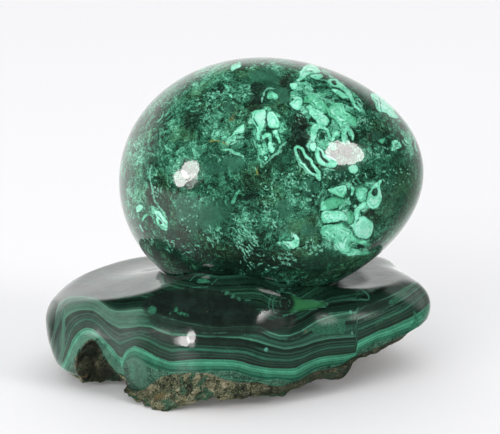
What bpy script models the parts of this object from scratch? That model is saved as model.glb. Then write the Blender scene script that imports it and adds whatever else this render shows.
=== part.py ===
"""A malachite egg lying in the hollow of its banded malachite stand.

Metres, +Z up. The origin is on the ground under the middle of the whole piece, +X runs along
the egg to its thinner end and -Y looks to the stand's banded front face.
"""

import math

import bmesh
import bpy
from mathutils import Matrix, Vector, noise

MM = 0.001

# Egg: a turned solid whose right half is a little thinner than its left, lying on its side.
EGG_LENGTH = 90.0
EGG_DIAMETER = 71.8
EGG_TAPER = 0.098
EGG_FLATTEN = 0.023
EGG_CENTRE = Vector((9.6, 4.0, 58.0))
EGG_TILT = math.radians(4.8)
EGG_PROFILE_STEPS = 30
EGG_TURN_STEPS = 60

# Stand: its upright middle line, and how many points it has round its outline and up its side.
STAND_MIDDLE = Vector((-2.0, 0.0))
STAND_COLUMNS = 88
STAND_RINGS = 38
SEAT_GAP = 0.3

# The stand's outline seen from above, anticlockwise from its right end. Each station gives its
# place (x, y), the height of its bottom edge, of the line where the rough matrix meets the
# polish and of the shoulder, how far the rounded shoulder reaches inwards, and how far the
# broken foot juts out in front of the polished face.
STAND_STATIONS = (
    (57.1, 5.5, 14.0, 14.6, 18.5, 10.0, 0.0),
    (54.8, 14.0, 12.0, 13.5, 19.0, 10.0, 0.0),
    (49.0, 23.0, 9.0, 12.0, 21.6, 9.0, 0.0),
    (45.6, 32.5, 6.0, 10.0, 23.3, 9.0, 0.0),
    (34.0, 39.6, 4.0, 8.0, 20.0, 11.0, 0.0),
    (12.0, 40.9, 2.0, 7.0, 18.0, 14.0, 0.0),
    (-12.0, 40.6, 2.0, 7.0, 17.0, 14.0, 0.0),
    (-31.0, 37.5, 3.0, 8.0, 17.5, 12.0, 0.0),
    (-45.0, 26.5, 4.0, 8.0, 16.4, 9.5, 0.0),
    (-54.5, 15.0, 3.5, 7.0, 17.0, 8.5, 0.0),
    (-57.1, 0.0, 3.0, 5.0, 17.0, 8.5, 0.0),
    (-55.6, -12.0, 2.5, 3.5, 16.5, 9.0, 0.0),
    (-51.5, -19.0, 2.0, 4.0, 16.0, 10.5, 0.8),
    (-42.0, -28.0, 3.4, 4.9, 15.5, 12.0, 3.0),
    (-32.5, -36.0, 1.6, 2.4, 15.0, 14.0, 6.0),
    (-24.0, -41.0, 0.0, 7.1, 15.5, 16.0, 7.0),
    (-10.0, -40.8, 3.4, 9.6, 16.0, 17.0, 0.6),
    (4.0, -39.2, 3.7, 8.6, 16.0, 17.0, 0.2),
    (14.0, -36.2, 2.9, 6.0, 16.0, 16.0, 1.8),
    (25.0, -29.4, 6.0, 7.8, 16.5, 15.0, 3.0),
    (33.0, -24.0, 4.6, 8.4, 17.0, 14.5, 3.0),
    (38.0, -19.6, 9.2, 10.4, 17.0, 14.0, 2.4),
    (49.0, -9.5, 11.2, 12.8, 17.5, 12.0, 1.2),
    (55.0, -1.5, 13.4, 14.2, 18.0, 11.0, 0.4),
)

# The polished top: a flat crown with a swell before the egg and a low one at its blunt end.
CROWN_HEIGHT = 27.0
SWELL_HEIGHT = 11.3
SWELL_PLACE = Vector((-4.4, -23.0))
SWELL_REACH = (20.0, 28.0, 20.0)
LEFT_SWELL_HEIGHT = 3.0
LEFT_SWELL_PLACE = Vector((-21.4, -1.0))
LEFT_SWELL_REACH = 12.0
LEFT_FALL_START = -30.0
LEFT_FALL = 0.0067

# The rough underside rests on three low feet, each (x, y, radius), cut flat by the ground.
UNDERSIDE_HEIGHT = 2.6
FEET = ((-24.5, -31.0, 12.0), (25.0, 1.0, 13.0), (-19.0, 25.0, 14.0))
FOOT_DEPTH = 4.2
EDGE_ROUNDING = 2.0
SIDE_LEAN = 1.2
LEFT_LEAN = 2.6
MATRIX_LUMP = 1.9
MATRIX_STEP = 0.8
LEDGE_HEIGHT = 6.0

# The arched hollow in the left front face, open below.
CAVE_PLACE = Vector((-41.2, -26.2, 3.0))
CAVE_HALF_SIZE = Vector((8.6, 9.5, 14.2))
CAVE_TURN = math.radians(-41.0)
CAVE_ROUGHNESS = 0.9


def egg_radius(along):
    """Radius of the egg at a place along its axis, from -1 at the blunt end to 1."""
    round_part = math.sqrt(max(0.0, 1.0 - along * along))
    taper = 1.0 - EGG_TAPER * along - EGG_FLATTEN * along * along
    return EGG_DIAMETER / 2 * round_part * taper


def smooth_step(low, high, value):
    """0 below low, 1 above high and an S-shaped rise between them."""
    t = min(1.0, max(0.0, (value - low) / (high - low)))
    return t * t * (3.0 - 2.0 * t)


def station_angles():
    """Direction of every station from the stand's middle line, rising from the first."""
    angles = [math.atan2(s[1] - STAND_MIDDLE.y, s[0] - STAND_MIDDLE.x) for s in STAND_STATIONS]
    first = angles[0]
    return [first + (angle - first) % (2.0 * math.pi) for angle in angles]


def station_values():
    """What is interpolated round the stand: radius, bottom, matrix line, shoulder, roll, ledge."""
    middle = STAND_MIDDLE
    return [
        (math.hypot(s[0] - middle.x, s[1] - middle.y), *s[2:])
        for s in STAND_STATIONS
    ]


def around(direction, angles, values):
    """The stations' values in any direction, on a smooth closed curve through them all."""
    count = len(angles)
    turn = 2.0 * math.pi
    direction = angles[0] + (direction - angles[0]) % turn
    here = max(i for i in range(count) if angles[i] <= direction)
    places = [angles[(here + k) % count] + turn * ((here + k) // count) for k in (-1, 0, 1, 2)]
    points = [values[(here + k) % count] for k in (-1, 0, 1, 2)]
    span = places[2] - places[1]
    t = (direction - places[1]) / span
    result = []
    for before, start, end, after in zip(*points):
        slope_start = (end - before) / (places[2] - places[0]) * span
        slope_end = (after - start) / (places[3] - places[1]) * span
        result.append(
            (2 * t**3 - 3 * t**2 + 1) * start
            + (t**3 - 2 * t**2 + t) * slope_start
            + (3 * t**2 - 2 * t**3) * end
            + (t**3 - t**2) * slope_end
        )
    return result


def crown(x, y):
    """Height of the polished top away from its edge."""
    height = CROWN_HEIGHT
    height -= LEFT_FALL * min(0.0, x - LEFT_FALL_START) ** 2
    reach_left, reach_right, reach_y = SWELL_REACH
    across = (x - SWELL_PLACE.x) / (reach_left if x < SWELL_PLACE.x else reach_right)
    along = (y - SWELL_PLACE.y) / reach_y
    height += SWELL_HEIGHT * math.exp(-across * across - along * along)
    away = (Vector((x, y)) - LEFT_SWELL_PLACE).length / LEFT_SWELL_REACH
    height += LEFT_SWELL_HEIGHT * math.exp(-away * away)
    return height


def underside(x, y):
    """Height of the rough underside; a foot reaches below the ground, which cuts it flat."""
    height = UNDERSIDE_HEIGHT
    for foot_x, foot_y, radius in FEET:
        away = math.hypot(x - foot_x, y - foot_y) / radius
        height -= FOOT_DEPTH * math.exp(-(away**4))
    return height


def lumps(point):
    """Uneven relief of broken stone, about -1 to 1."""
    coarse = noise.noise(point * 0.16)
    fine = noise.noise(point * 0.42 + Vector((31.0, 7.0, 3.0)))
    return 1.3 * coarse + 0.8 * fine


def stand_point(direction, rise, angles, values):
    """A point of the stand's skin: rise goes 0 to 1 up from under its middle to its crown."""
    radius, bottom, matrix_line, shoulder, roll, ledge = around(direction, angles, values)
    ledge = max(0.0, ledge)
    ledge_foot = max(bottom, matrix_line - LEDGE_HEIGHT)
    ray = Vector((math.cos(direction), math.sin(direction)))
    side_start, roll_start, top_start = 0.30, 0.56, 0.76
    lean = SIDE_LEAN + LEFT_LEAN * smooth_step(0.3, 0.95, -ray.x)
    inset_at_bottom = EDGE_ROUNDING + lean
    if rise < side_start:
        share = rise / side_start
        spot = STAND_MIDDLE + ray * (radius - inset_at_bottom) * share
        blend = smooth_step(0.45, 1.0, share)
        height = underside(*spot) * (1.0 - blend) + bottom * blend
        rough = 1.0
    elif rise < roll_start:
        share = (rise - side_start) / (roll_start - side_start)
        height = bottom + (shoulder - bottom) * share
        inset = lean * (1.0 - share) ** 2 + EDGE_ROUNDING * max(0.0, 1.0 - share / 0.25) ** 2
        inset += ledge * smooth_step(ledge_foot, matrix_line + 0.4, height)
        rough = 1.0 - smooth_step(matrix_line - 0.4, matrix_line + 0.4, height)
        spot = STAND_MIDDLE + ray * (radius - inset - MATRIX_STEP * rough)
    elif rise < top_start:
        angle = (rise - roll_start) / (top_start - roll_start) * math.pi / 2
        spot = STAND_MIDDLE + ray * (radius - ledge - roll * (1.0 - math.cos(angle)))
        height = shoulder + (crown(*spot) - shoulder) * math.sin(angle)
        rough = 0.0
    else:
        share = (1.0 - rise) / (1.0 - top_start)
        spot = STAND_MIDDLE + ray * (radius - ledge - roll) * share
        height = crown(*spot)
        rough = 0.0
    point = Vector((spot.x, spot.y, height))
    away = Vector((ray.x, ray.y, -0.6)).normalized()
    return point + away * (MATRIX_LUMP * rough * lumps(point))


def new_object(name, mesh, collection):
    obj = bpy.data.objects.new(name, mesh)
    collection.objects.link(obj)
    return obj


def new_collection(name):
    collection = bpy.data.collections.new(name)
    bpy.context.scene.collection.children.link(collection)
    return collection


def stone(name, colour, roughness):
    """Polished green stone."""
    material = bpy.data.materials.new(name)
    material.use_nodes = True
    shader = material.node_tree.nodes["Principled BSDF"]
    shader.inputs["Base Color"].default_value = (*colour, 1.0)
    shader.inputs["Roughness"].default_value = roughness
    shader.inputs["Metallic"].default_value = 0.0
    return material


def shade_smooth(mesh, sharp_angle):
    mesh.shade_smooth()
    mesh.set_sharp_from_angle(angle=sharp_angle)


def turned_egg(name, growth, collection):
    """The egg, grown outwards by a distance, as its outline turned about its long axis."""
    bm = bmesh.new()
    half = EGG_LENGTH / 2 + growth
    previous = None
    for step in range(EGG_PROFILE_STEPS + 1):
        along = math.cos(math.pi * step / EGG_PROFILE_STEPS)
        radius = egg_radius(along) + growth * math.sqrt(max(0.0, 1.0 - along * along))
        vertex = bm.verts.new((radius * MM, 0.0, along * half * MM))
        if previous:
            bm.edges.new((previous, vertex))
        previous = vertex
    mesh = bpy.data.meshes.new(name)
    bm.to_mesh(mesh)
    bm.free()
    egg = new_object(name, mesh, collection)
    screw = egg.modifiers.new("Turn about the long axis", "SCREW")
    screw.steps = EGG_TURN_STEPS
    screw.render_steps = EGG_TURN_STEPS
    screw.use_merge_vertices = True
    screw.merge_threshold = 0.00001
    screw.use_smooth_shade = True
    egg.rotation_euler = (0.0, math.pi / 2 - EGG_TILT, 0.0)
    egg.location = EGG_CENTRE * MM
    return egg


def make_cave_cutter(collection):
    """The hollow's shape: a rough egg-shaped lump that stands half inside the face."""
    bm = bmesh.new()
    bmesh.ops.create_uvsphere(bm, u_segments=20, v_segments=14, radius=1.0)
    turn = Matrix.Rotation(CAVE_TURN, 3, "Z")
    for vertex in bm.verts:
        size = CAVE_HALF_SIZE
        spot = Vector((vertex.co.x * size.x, vertex.co.y * size.y, vertex.co.z * size.z))
        spot += vertex.co * (CAVE_ROUGHNESS * lumps(spot * 1.6))
        vertex.co = (turn @ spot + CAVE_PLACE) * MM
    mesh = bpy.data.meshes.new("cave_cutter")
    bm.to_mesh(mesh)
    bm.free()
    return new_object("cave_cutter", mesh, collection)


def make_stand(collection):
    """The stand's skin, as a sphere's grid of points moved to the stand's own shape."""
    bm = bmesh.new()
    bmesh.ops.create_uvsphere(
        bm, u_segments=STAND_COLUMNS, v_segments=STAND_RINGS, radius=1.0
    )
    angles = station_angles()
    values = station_values()
    for vertex in bm.verts:
        direction = math.atan2(vertex.co.y, vertex.co.x)
        rise = 1.0 - math.acos(max(-1.0, min(1.0, vertex.co.z))) / math.pi
        vertex.co = stand_point(direction, rise, angles, values) * MM
    ground = bmesh.ops.bisect_plane(
        bm,
        geom=bm.verts[:] + bm.edges[:] + bm.faces[:],
        dist=1e-7,
        plane_co=(0.0, 0.0, 0.0),
        plane_no=(0.0, 0.0, 1.0),
        clear_inner=True,
    )
    cut_edges = [item for item in ground["geom_cut"] if isinstance(item, bmesh.types.BMEdge)]
    bmesh.ops.edgeloop_fill(bm, edges=cut_edges)
    bmesh.ops.recalc_face_normals(bm, faces=bm.faces[:])
    mesh = bpy.data.meshes.new("stand")
    bm.to_mesh(mesh)
    bm.free()
    return new_object("stand", mesh, collection)


def cut(obj, cutter, label):
    """Take a cutter's shape out of an object."""
    cutter.hide_render = True
    cutter.display_type = "WIRE"
    modifier = obj.modifiers.new(label, "BOOLEAN")
    modifier.operation = "DIFFERENCE"
    modifier.solver = "EXACT"
    modifier.object = cutter


def main():
    for obj in list(bpy.data.objects):
        bpy.data.objects.remove(obj, do_unlink=True)
    parts = new_collection("malachite_egg_on_stand")
    cutters = new_collection("cutters")

    egg = turned_egg("egg", 0.0, parts)
    egg.data.materials.append(stone("mottled_malachite", (0.030, 0.170, 0.105), 0.12))

    stand = make_stand(parts)
    stand.data.materials.append(stone("banded_malachite", (0.020, 0.120, 0.075), 0.15))
    cut(stand, turned_egg("seat_cutter", SEAT_GAP, cutters), "Hollow under the egg")
    cut(stand, make_cave_cutter(cutters), "Arched hollow in the face")
    shade_smooth(stand.data, math.radians(35.0))


main()
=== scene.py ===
"""Looks of a polished malachite egg that lies in the hollow of its banded malachite stand.

Sizes are in millimetres until a mesh is made, in the part's own frame: +Z up, the origin on
the ground under the middle, +X along the egg to its thinner end and -Y to the stand's front.
Markings are drawn in a front drawing, as seen by the camera: its unit is 1/3.393 mm, x runs
to the right and y down. A pair of numbers in a name's value, where nothing else is said, is
where something fades in: it is 0 at the first and full at the second.
"""

import math

import bmesh
import bpy
import numpy as np
from mathutils import Matrix, Vector, noise

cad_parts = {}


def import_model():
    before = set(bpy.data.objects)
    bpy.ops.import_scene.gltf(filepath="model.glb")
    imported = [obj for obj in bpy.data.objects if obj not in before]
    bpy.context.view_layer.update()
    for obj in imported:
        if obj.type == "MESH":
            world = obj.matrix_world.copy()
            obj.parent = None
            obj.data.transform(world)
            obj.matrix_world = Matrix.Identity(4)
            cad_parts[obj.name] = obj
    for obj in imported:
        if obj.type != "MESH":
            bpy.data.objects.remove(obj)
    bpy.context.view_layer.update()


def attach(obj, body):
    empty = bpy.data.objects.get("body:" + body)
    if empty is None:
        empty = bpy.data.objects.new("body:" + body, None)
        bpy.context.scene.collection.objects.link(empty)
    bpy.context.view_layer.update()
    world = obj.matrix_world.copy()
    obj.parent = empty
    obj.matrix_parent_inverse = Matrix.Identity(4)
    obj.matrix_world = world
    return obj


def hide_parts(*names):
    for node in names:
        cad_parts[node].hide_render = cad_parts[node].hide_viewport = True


MM = 0.001
TINY = 1e-9

# Camera and front drawing.
IMAGE_SIZE = (500, 434)
CAMERA_ELEVATION = math.radians(15.0)
TOWARDS_CAMERA = np.array((0.0, -math.cos(CAMERA_ELEVATION), math.sin(CAMERA_ELEVATION)))
UP_IN_DRAWING = np.array((0.0, math.sin(CAMERA_ELEVATION), math.cos(CAMERA_ELEVATION)))
CAMERA_DISTANCE = 1100.0
CAMERA_SIGHT = 20000.0
DRAWING_SCALE = 3.393
EGG_IN_DRAWING = (271.2, 178.4)
SENSOR_WIDTH = 36.0

# Lamps whose mirror images show on the polish, at one distance in metres from the egg. Each
# gives its azimuth, elevation, width and height in degrees, its radiance and its roll.
SOFTBOX_DISTANCE = 2.6
SOFTBOX_COLOUR = (1.0, 0.955, 0.95)
SOFTBOXES = {
    "left_softbox_low": (-60.5, 10.0, 13.0, 14.0, 7.2, 0.0),
    "left_softbox_high": (-54.0, 18.0, 15.0, 17.0, 6.8, 0.0),
    "left_softbox_edge": (-50.0, 10.0, 10.0, 13.0, 2.0, 0.0),
    "left_softbox_halo": (-56.0, 15.0, 32.0, 26.0, 0.32, 0.0),
    "right_softbox": (60.4, 29.2, 24.5, 21.0, 6.6, -18.0),
    "right_softbox_halo": (59.0, 27.0, 36.0, 24.0, 0.32, 0.0),
}

# Soft lamps without a mirror image: place, aim and size in metres, and radiance.
SOFT_LAMPS = {
    "ceiling": ((0.05, 0.40, 2.0), (0.0, 0.0, 0.0), (4.4, 4.4), 1.07),
    "front_fill": ((-0.9, -2.1, 1.05), (0.0, 0.0, 0.04), (1.8, 1.4), 3.4),
}

# The room round the object, by direction: x to the right, y away from the camera, z upwards.
BACKDROP_TOP = (0.66, 0.26)
BACKDROP_FRONT = (0.02, 0.85)
BACKDROP_SLANT = 0.14
BACKDROP_LIGHT = 1.17
RIGHT_SIDE = (0.1, 0.8)
RIGHT_SIDE_DIMMING = 0.4
TABLE_TOP = (0.0, -0.10)
TABLE_LEFT = (-0.35, -0.95)
TABLE_LIGHT = 0.03
TABLE_LEFT_LIGHT = 0.62
ROOM_LIGHT = 0.025

# The table that the object stands on, in metres.
FLOOR_RADIUS = 6.0
FLOOR_LOOKS = {
    "Base Color": (0.86, 0.86, 0.88, 1.0),
    "Roughness": 0.8,
    "Specular IOR Level": 0.1,
    "Emission Color": (1.0, 1.0, 1.0, 1.0),
    "Emission Strength": 0.075,
}

# Egg: a turned solid whose right half is a little thinner than its left, lying on its side. A
# grid is its rows, and its columns in front and behind; the front's take a little over half a
# turn. Faces nearer to a marking's edge than the reaches are split, and fewer on hidden sides.
EGG_LENGTH = 90.0
EGG_DIAMETER = 71.8
EGG_TAPER = 0.098
EGG_FLATTEN = 0.023
EGG_CENTRE = np.array((9.6, 4.0, 58.0))
EGG_TILT = math.radians(4.8)
EGG_GRID = (120, 130, 76)
EGG_FRONT_TURN = 1.06 * math.pi
EGG_SPLIT_REACHES = (2.0, 0.85)
HIDDEN_SPLIT_SHARE = 0.4
SHARP_MARKS = ("pale", "mid", "dark", "thread", "crack", "gold")
SLOPE_STEP = 1e-3
POLE_START = 0.995
POLE_SLOPE = 50.0

# Stand: its upright middle line, the gap under the egg and its grid of points.
STAND_MIDDLE = np.array((-2.0, 0.0))
SEAT_GAP = 0.3
SEAT_GRID = (120, 160, 100)
STAND_FRONT_COLUMNS = 400
STAND_BACK_COLUMNS = 140
STAND_FRONT_TURN = 1.12 * math.pi
STAND_UNDERSIDE_ROWS = 26
STAND_SIDE_ROWS = 34
STAND_ROLL_ROWS = 34
STAND_TOP_ROWS = 34
SHARP_ANGLE = math.radians(40.0)

# The stand's outline seen from above, anticlockwise from its right end. Each station gives its
# place (x, y), the height of its bottom edge, of the line where the rough matrix meets the
# polish and of the shoulder, how far the rounded shoulder reaches inwards, and how far the
# broken foot juts out in front of the polished face.
STAND_STATIONS = (
    (57.1, 5.5, 14.0, 14.6, 18.5, 10.0, 0.0),
    (54.8, 14.0, 12.0, 13.5, 19.0, 10.0, 0.0),
    (49.0, 23.0, 9.0, 12.0, 21.6, 9.0, 0.0),
    (45.6, 32.5, 6.0, 10.0, 23.3, 9.0, 0.0),
    (34.0, 39.6, 4.0, 8.0, 20.0, 11.0, 0.0),
    (12.0, 40.9, 2.0, 7.0, 18.0, 14.0, 0.0),
    (-12.0, 40.6, 2.0, 7.0, 17.0, 14.0, 0.0),
    (-31.0, 37.5, 3.0, 8.0, 17.5, 12.0, 0.0),
    (-45.0, 26.5, 4.0, 8.0, 16.4, 9.5, 0.0),
    (-54.5, 15.0, 3.5, 7.0, 17.0, 8.5, 0.0),
    (-57.1, 0.0, 3.0, 5.0, 17.0, 8.5, 0.0),
    (-55.6, -12.0, 2.5, 3.5, 16.5, 9.0, 0.0),
    (-51.5, -19.0, 2.0, 4.0, 16.0, 10.5, 0.8),
    (-42.0, -28.0, 3.4, 4.9, 15.5, 12.0, 3.0),
    (-32.5, -36.0, 1.6, 2.4, 15.0, 14.0, 6.0),
    (-24.0, -41.0, 0.0, 7.1, 15.5, 16.0, 7.0),
    (-10.0, -40.8, 3.4, 9.6, 16.0, 17.0, 0.6),
    (4.0, -39.2, 3.7, 8.6, 16.0, 17.0, 0.2),
    (14.0, -36.2, 2.9, 6.0, 16.0, 16.0, 1.8),
    (25.0, -29.4, 6.0, 7.8, 16.5, 15.0, 3.0),
    (33.0, -24.0, 4.6, 8.4, 17.0, 14.5, 3.0),
    (38.0, -19.6, 9.2, 10.4, 17.0, 14.0, 2.4),
    (49.0, -9.5, 11.2, 12.8, 17.5, 12.0, 1.2),
    (55.0, -1.5, 13.4, 14.2, 18.0, 11.0, 0.4),
)
CROWN_HEIGHT = 27.0
SWELL_HEIGHT = 11.3
SWELL_PLACE = (-4.4, -23.0)
SWELL_REACH = (20.0, 28.0, 20.0)
LEFT_SWELL_HEIGHT = 3.0
LEFT_SWELL_PLACE = (-21.4, -1.0)
LEFT_SWELL_REACH = 12.0
LEFT_FALL_START = -30.0
LEFT_FALL = 0.0067
UNDERSIDE_HEIGHT = 2.6
FEET = ((-24.5, -31.0, 12.0), (25.0, 1.0, 13.0), (-19.0, 25.0, 14.0))
FOOT_DEPTH = 4.2
EDGE_ROUNDING = 2.0
EDGE_ROUNDING_SHARE = 0.25
UNDERSIDE_BLEND = (0.45, 1.0)
SIDE_LEAN = 1.2
LEFT_LEAN = 2.6
LEFT_LEAN_FACING = (0.3, 0.95)
LEDGE_HEIGHT = 6.0

# The broken matrix: the depth of its lumps, grains and step under the polish. A noise gives its
# size, its waves per millimetre and a shift that sets it apart from the others.
MATRIX_LUMP = 1.9
MATRIX_GRAIN = 0.3
MATRIX_STEP = 0.8
MATRIX_BORDER = 0.4
MATRIX_PUSH_DOWN = 0.6
BARELY_ROUGH = 0.01
LUMP_NOISES = ((1.3, 0.16, (0.0, 0.0, 0.0)), (0.8, 0.42, (31.0, 7.0, 3.0)))
GRAIN_NOISE = (0.9, 1.1, (5.0, 17.0, 41.0))
GRAIN_EDGE_NOISE = (1.0, 0.7, (13.0, 2.0, 29.0))
GRAIN_EDGE_SIZE = 0.8
GRAIN_EDGE_MIDDLE = 0.35
CALM_RIGHT = (0.0, 22.0)
CALM_BACK = (-5.0, 12.0)
CALM_SHARE = 0.75

# The arched hollow in the front: a lump with a rough skin that is cut out.
CAVE_PLACE = Vector((-41.2, -26.2, 3.0))
CAVE_HALF_SIZE = Vector((8.6, 9.5, 14.2))
CAVE_TURN = math.radians(-41.0)
CAVE_SEGMENTS = (72, 48)
CAVE_LUMP = 0.9
CAVE_LUMP_FINENESS = 1.6
CAVE_GRAIN = 0.5
CAVE_GRAIN_FINENESS = 1.3


def smooth_step(low, high, value):
    """0 below low, 1 above high and an S-shaped rise between them."""
    t = np.clip((value - low) / (high - low), 0.0, 1.0)
    return t * t * (3.0 - 2.0 * t)


# The front drawing


def front_view(points):
    """Where points of the part fall in the front drawing."""
    from_egg = points - EGG_CENTRE
    scale = DRAWING_SCALE * CAMERA_DISTANCE / (CAMERA_DISTANCE - from_egg @ TOWARDS_CAMERA)
    across = EGG_IN_DRAWING[0] + from_egg[:, 0] * scale
    down = EGG_IN_DRAWING[1] - (from_egg @ UP_IN_DRAWING) * scale
    return np.column_stack((across, down))


# The egg's mesh


def egg_radius(along):
    """Radius of the egg at places along its axis, from -1 at the blunt end to 1."""
    round_part = np.sqrt(np.maximum(0.0, 1.0 - along * along))
    taper = 1.0 - EGG_TAPER * along - EGG_FLATTEN * along * along
    return EGG_DIAMETER / 2 * round_part * taper


def egg_axes():
    """The egg's own directions: down, back and along its axis, as rows."""
    lean, rise = math.cos(EGG_TILT), math.sin(EGG_TILT)
    return np.array(((rise, 0.0, -lean), (0.0, 1.0, 0.0), (lean, 0.0, rise)))


def egg_place(along, turn, growth=0.0):
    """Points of the egg's skin, grown outwards by a distance."""
    half = EGG_LENGTH / 2 + growth
    radius = egg_radius(along) + growth * np.sqrt(np.maximum(0.0, 1.0 - along * along))
    own = np.column_stack((radius * np.cos(turn), radius * np.sin(turn), along * half))
    return EGG_CENTRE + own @ egg_axes()


def egg_coordinates(points):
    """Place along the axis and turn about it of points near the egg's skin."""
    own = (points - EGG_CENTRE) @ egg_axes().T
    along = np.clip(own[:, 2] / (EGG_LENGTH / 2), -1.0, 1.0)
    return along, np.arctan2(own[:, 1], own[:, 0])


def egg_normals(points):
    """Outward directions of points on the egg."""
    along, turn = egg_coordinates(points)
    rise = egg_radius(along + SLOPE_STEP) - egg_radius(along - SLOPE_STEP)
    slope = rise / (2 * SLOPE_STEP * EGG_LENGTH / 2)
    slope = np.where(np.abs(along) > POLE_START, -POLE_SLOPE * np.sign(along), slope)
    own = np.column_stack((np.cos(turn), np.sin(turn), -slope))
    own /= np.linalg.norm(own, axis=1)[:, None]
    return own @ egg_axes()


def mesh_points(mesh):
    """A mesh's points in millimetres."""
    flat = np.empty(len(mesh.vertices) * 3)
    mesh.vertices.foreach_get("co", flat)
    return flat.reshape(-1, 3) / MM


def set_mesh_points(mesh, points):
    """Move a mesh's points to places in millimetres."""
    mesh.vertices.foreach_set("co", (points * MM).ravel())
    mesh.update()


def set_attribute(mesh, name, values):
    """Give each point of a mesh a number that its material can read."""
    attribute = mesh.attributes.new(name, "FLOAT", "POINT")
    attribute.data.foreach_set("value", values.astype(np.float32))


def new_object(name, data):
    """An object in the scene with a mesh, lamp or camera."""
    obj = bpy.data.objects.new(name, data)
    bpy.context.scene.collection.objects.link(obj)
    return obj


def closed_grid(name, rows, first_pole, last_pole):
    """A closed mesh from rows of points that run round it, with a point at each end."""
    row_count, column_count = rows.shape[:2]
    points = np.vstack((first_pole, rows.reshape(-1, 3), last_pole))
    last = len(points) - 1
    faces = []
    for row in range(row_count - 1):
        for column in range(column_count):
            beside = (column + 1) % column_count
            low = 1 + row * column_count
            high = low + column_count
            faces.append((low + column, low + beside, high + beside, high + column))
    for column in range(column_count):
        beside = (column + 1) % column_count
        faces.append((0, 1 + beside, 1 + column))
        top = last - column_count
        faces.append((last, top + column, top + beside))
    mesh = bpy.data.meshes.new(name)
    mesh.from_pydata((points * MM).tolist(), [], faces)
    mesh.update()
    return mesh


def columns(front_start, front_turn, front_count, back_count):
    """Angles of a grid's columns: some over its front, and others over the rest of the turn."""
    front = np.linspace(0.0, 1.0, front_count, endpoint=False) * front_turn
    back = front_turn + np.linspace(0.0, 1.0, back_count, endpoint=False) * (2 * math.pi - front_turn)
    return front_start + np.concatenate((front, back))


def egg_mesh(name, grid, growth=0.0):
    """The egg as rows from its blunt to its thin end, with more columns on its front."""
    row_count, front_count, back_count = grid
    front_start = -math.pi / 2 - CAMERA_ELEVATION - EGG_FRONT_TURN / 2
    turns = columns(front_start, EGG_FRONT_TURN, front_count, back_count)
    alongs = -np.cos(np.linspace(0.0, math.pi, row_count + 2)[1:-1])
    rows = np.array([egg_place(np.full(len(turns), along), turns, growth) for along in alongs])
    ends = [egg_place(np.array((along,)), np.array((0.0,)), growth) for along in (-1.0, 1.0)]
    return closed_grid(name, rows, *ends)


# The stand's mesh


def stand_curves(directions):
    """Radius, bottom, matrix line, shoulder, roll and ledge of the stand in given directions."""
    middle = STAND_MIDDLE
    angles = [math.atan2(s[1] - middle[1], s[0] - middle[0]) for s in STAND_STATIONS]
    first = angles[0]
    turn = 2.0 * math.pi
    angles = np.array([first + (angle - first) % turn for angle in angles])
    values = np.array(
        [(math.hypot(s[0] - middle[0], s[1] - middle[1]), *s[2:]) for s in STAND_STATIONS]
    )
    count = len(angles)
    directions = first + (directions - first) % turn
    here = np.searchsorted(angles, directions, side="right") - 1

    def station(step):
        index = here + step
        return angles[index % count] + turn * (index // count), values[index % count]

    (at0, before), (at1, start), (at2, end), (at3, after) = [station(k) for k in (-1, 0, 1, 2)]
    span = (at2 - at1)[:, None]
    t = (directions - at1)[:, None] / span
    slope_start = (end - before) / (at2 - at0)[:, None] * span
    slope_end = (after - start) / (at3 - at1)[:, None] * span
    return (
        (2 * t**3 - 3 * t**2 + 1) * start
        + (t**3 - 2 * t**2 + t) * slope_start
        + (3 * t**2 - 2 * t**3) * end
        + (t**3 - t**2) * slope_end
    ).T


def crown(x, y):
    """Height of the polished top away from its edge."""
    height = CROWN_HEIGHT - LEFT_FALL * np.minimum(0.0, x - LEFT_FALL_START) ** 2
    reach_left, reach_right, reach_y = SWELL_REACH
    across = (x - SWELL_PLACE[0]) / np.where(x < SWELL_PLACE[0], reach_left, reach_right)
    along = (y - SWELL_PLACE[1]) / reach_y
    height = height + SWELL_HEIGHT * np.exp(-across * across - along * along)
    away = np.hypot(x - LEFT_SWELL_PLACE[0], y - LEFT_SWELL_PLACE[1]) / LEFT_SWELL_REACH
    return height + LEFT_SWELL_HEIGHT * np.exp(-away * away)


def underside(x, y):
    """Height of the rough underside; a foot reaches below the ground, which cuts it flat."""
    height = np.full(np.shape(x), UNDERSIDE_HEIGHT)
    for foot_x, foot_y, radius in FEET:
        away = np.hypot(x - foot_x, y - foot_y) / radius
        height = height - FOOT_DEPTH * np.exp(-(away**4))
    return height


def noise_at(point, size, frequency, shift):
    """One of the matrix's noises at a point."""
    return size * noise.noise(point * frequency + Vector(shift))


def lumps(point):
    """Uneven relief of broken stone, about -1 to 1."""
    return sum(noise_at(point, *wave) for wave in LUMP_NOISES)


def grains(point):
    """Small broken grains on the lumps, about -1 to 1."""
    edge = abs(noise_at(point, *GRAIN_EDGE_NOISE))
    return noise_at(point, *GRAIN_NOISE) + GRAIN_EDGE_SIZE * (GRAIN_EDGE_MIDDLE - edge)


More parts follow.
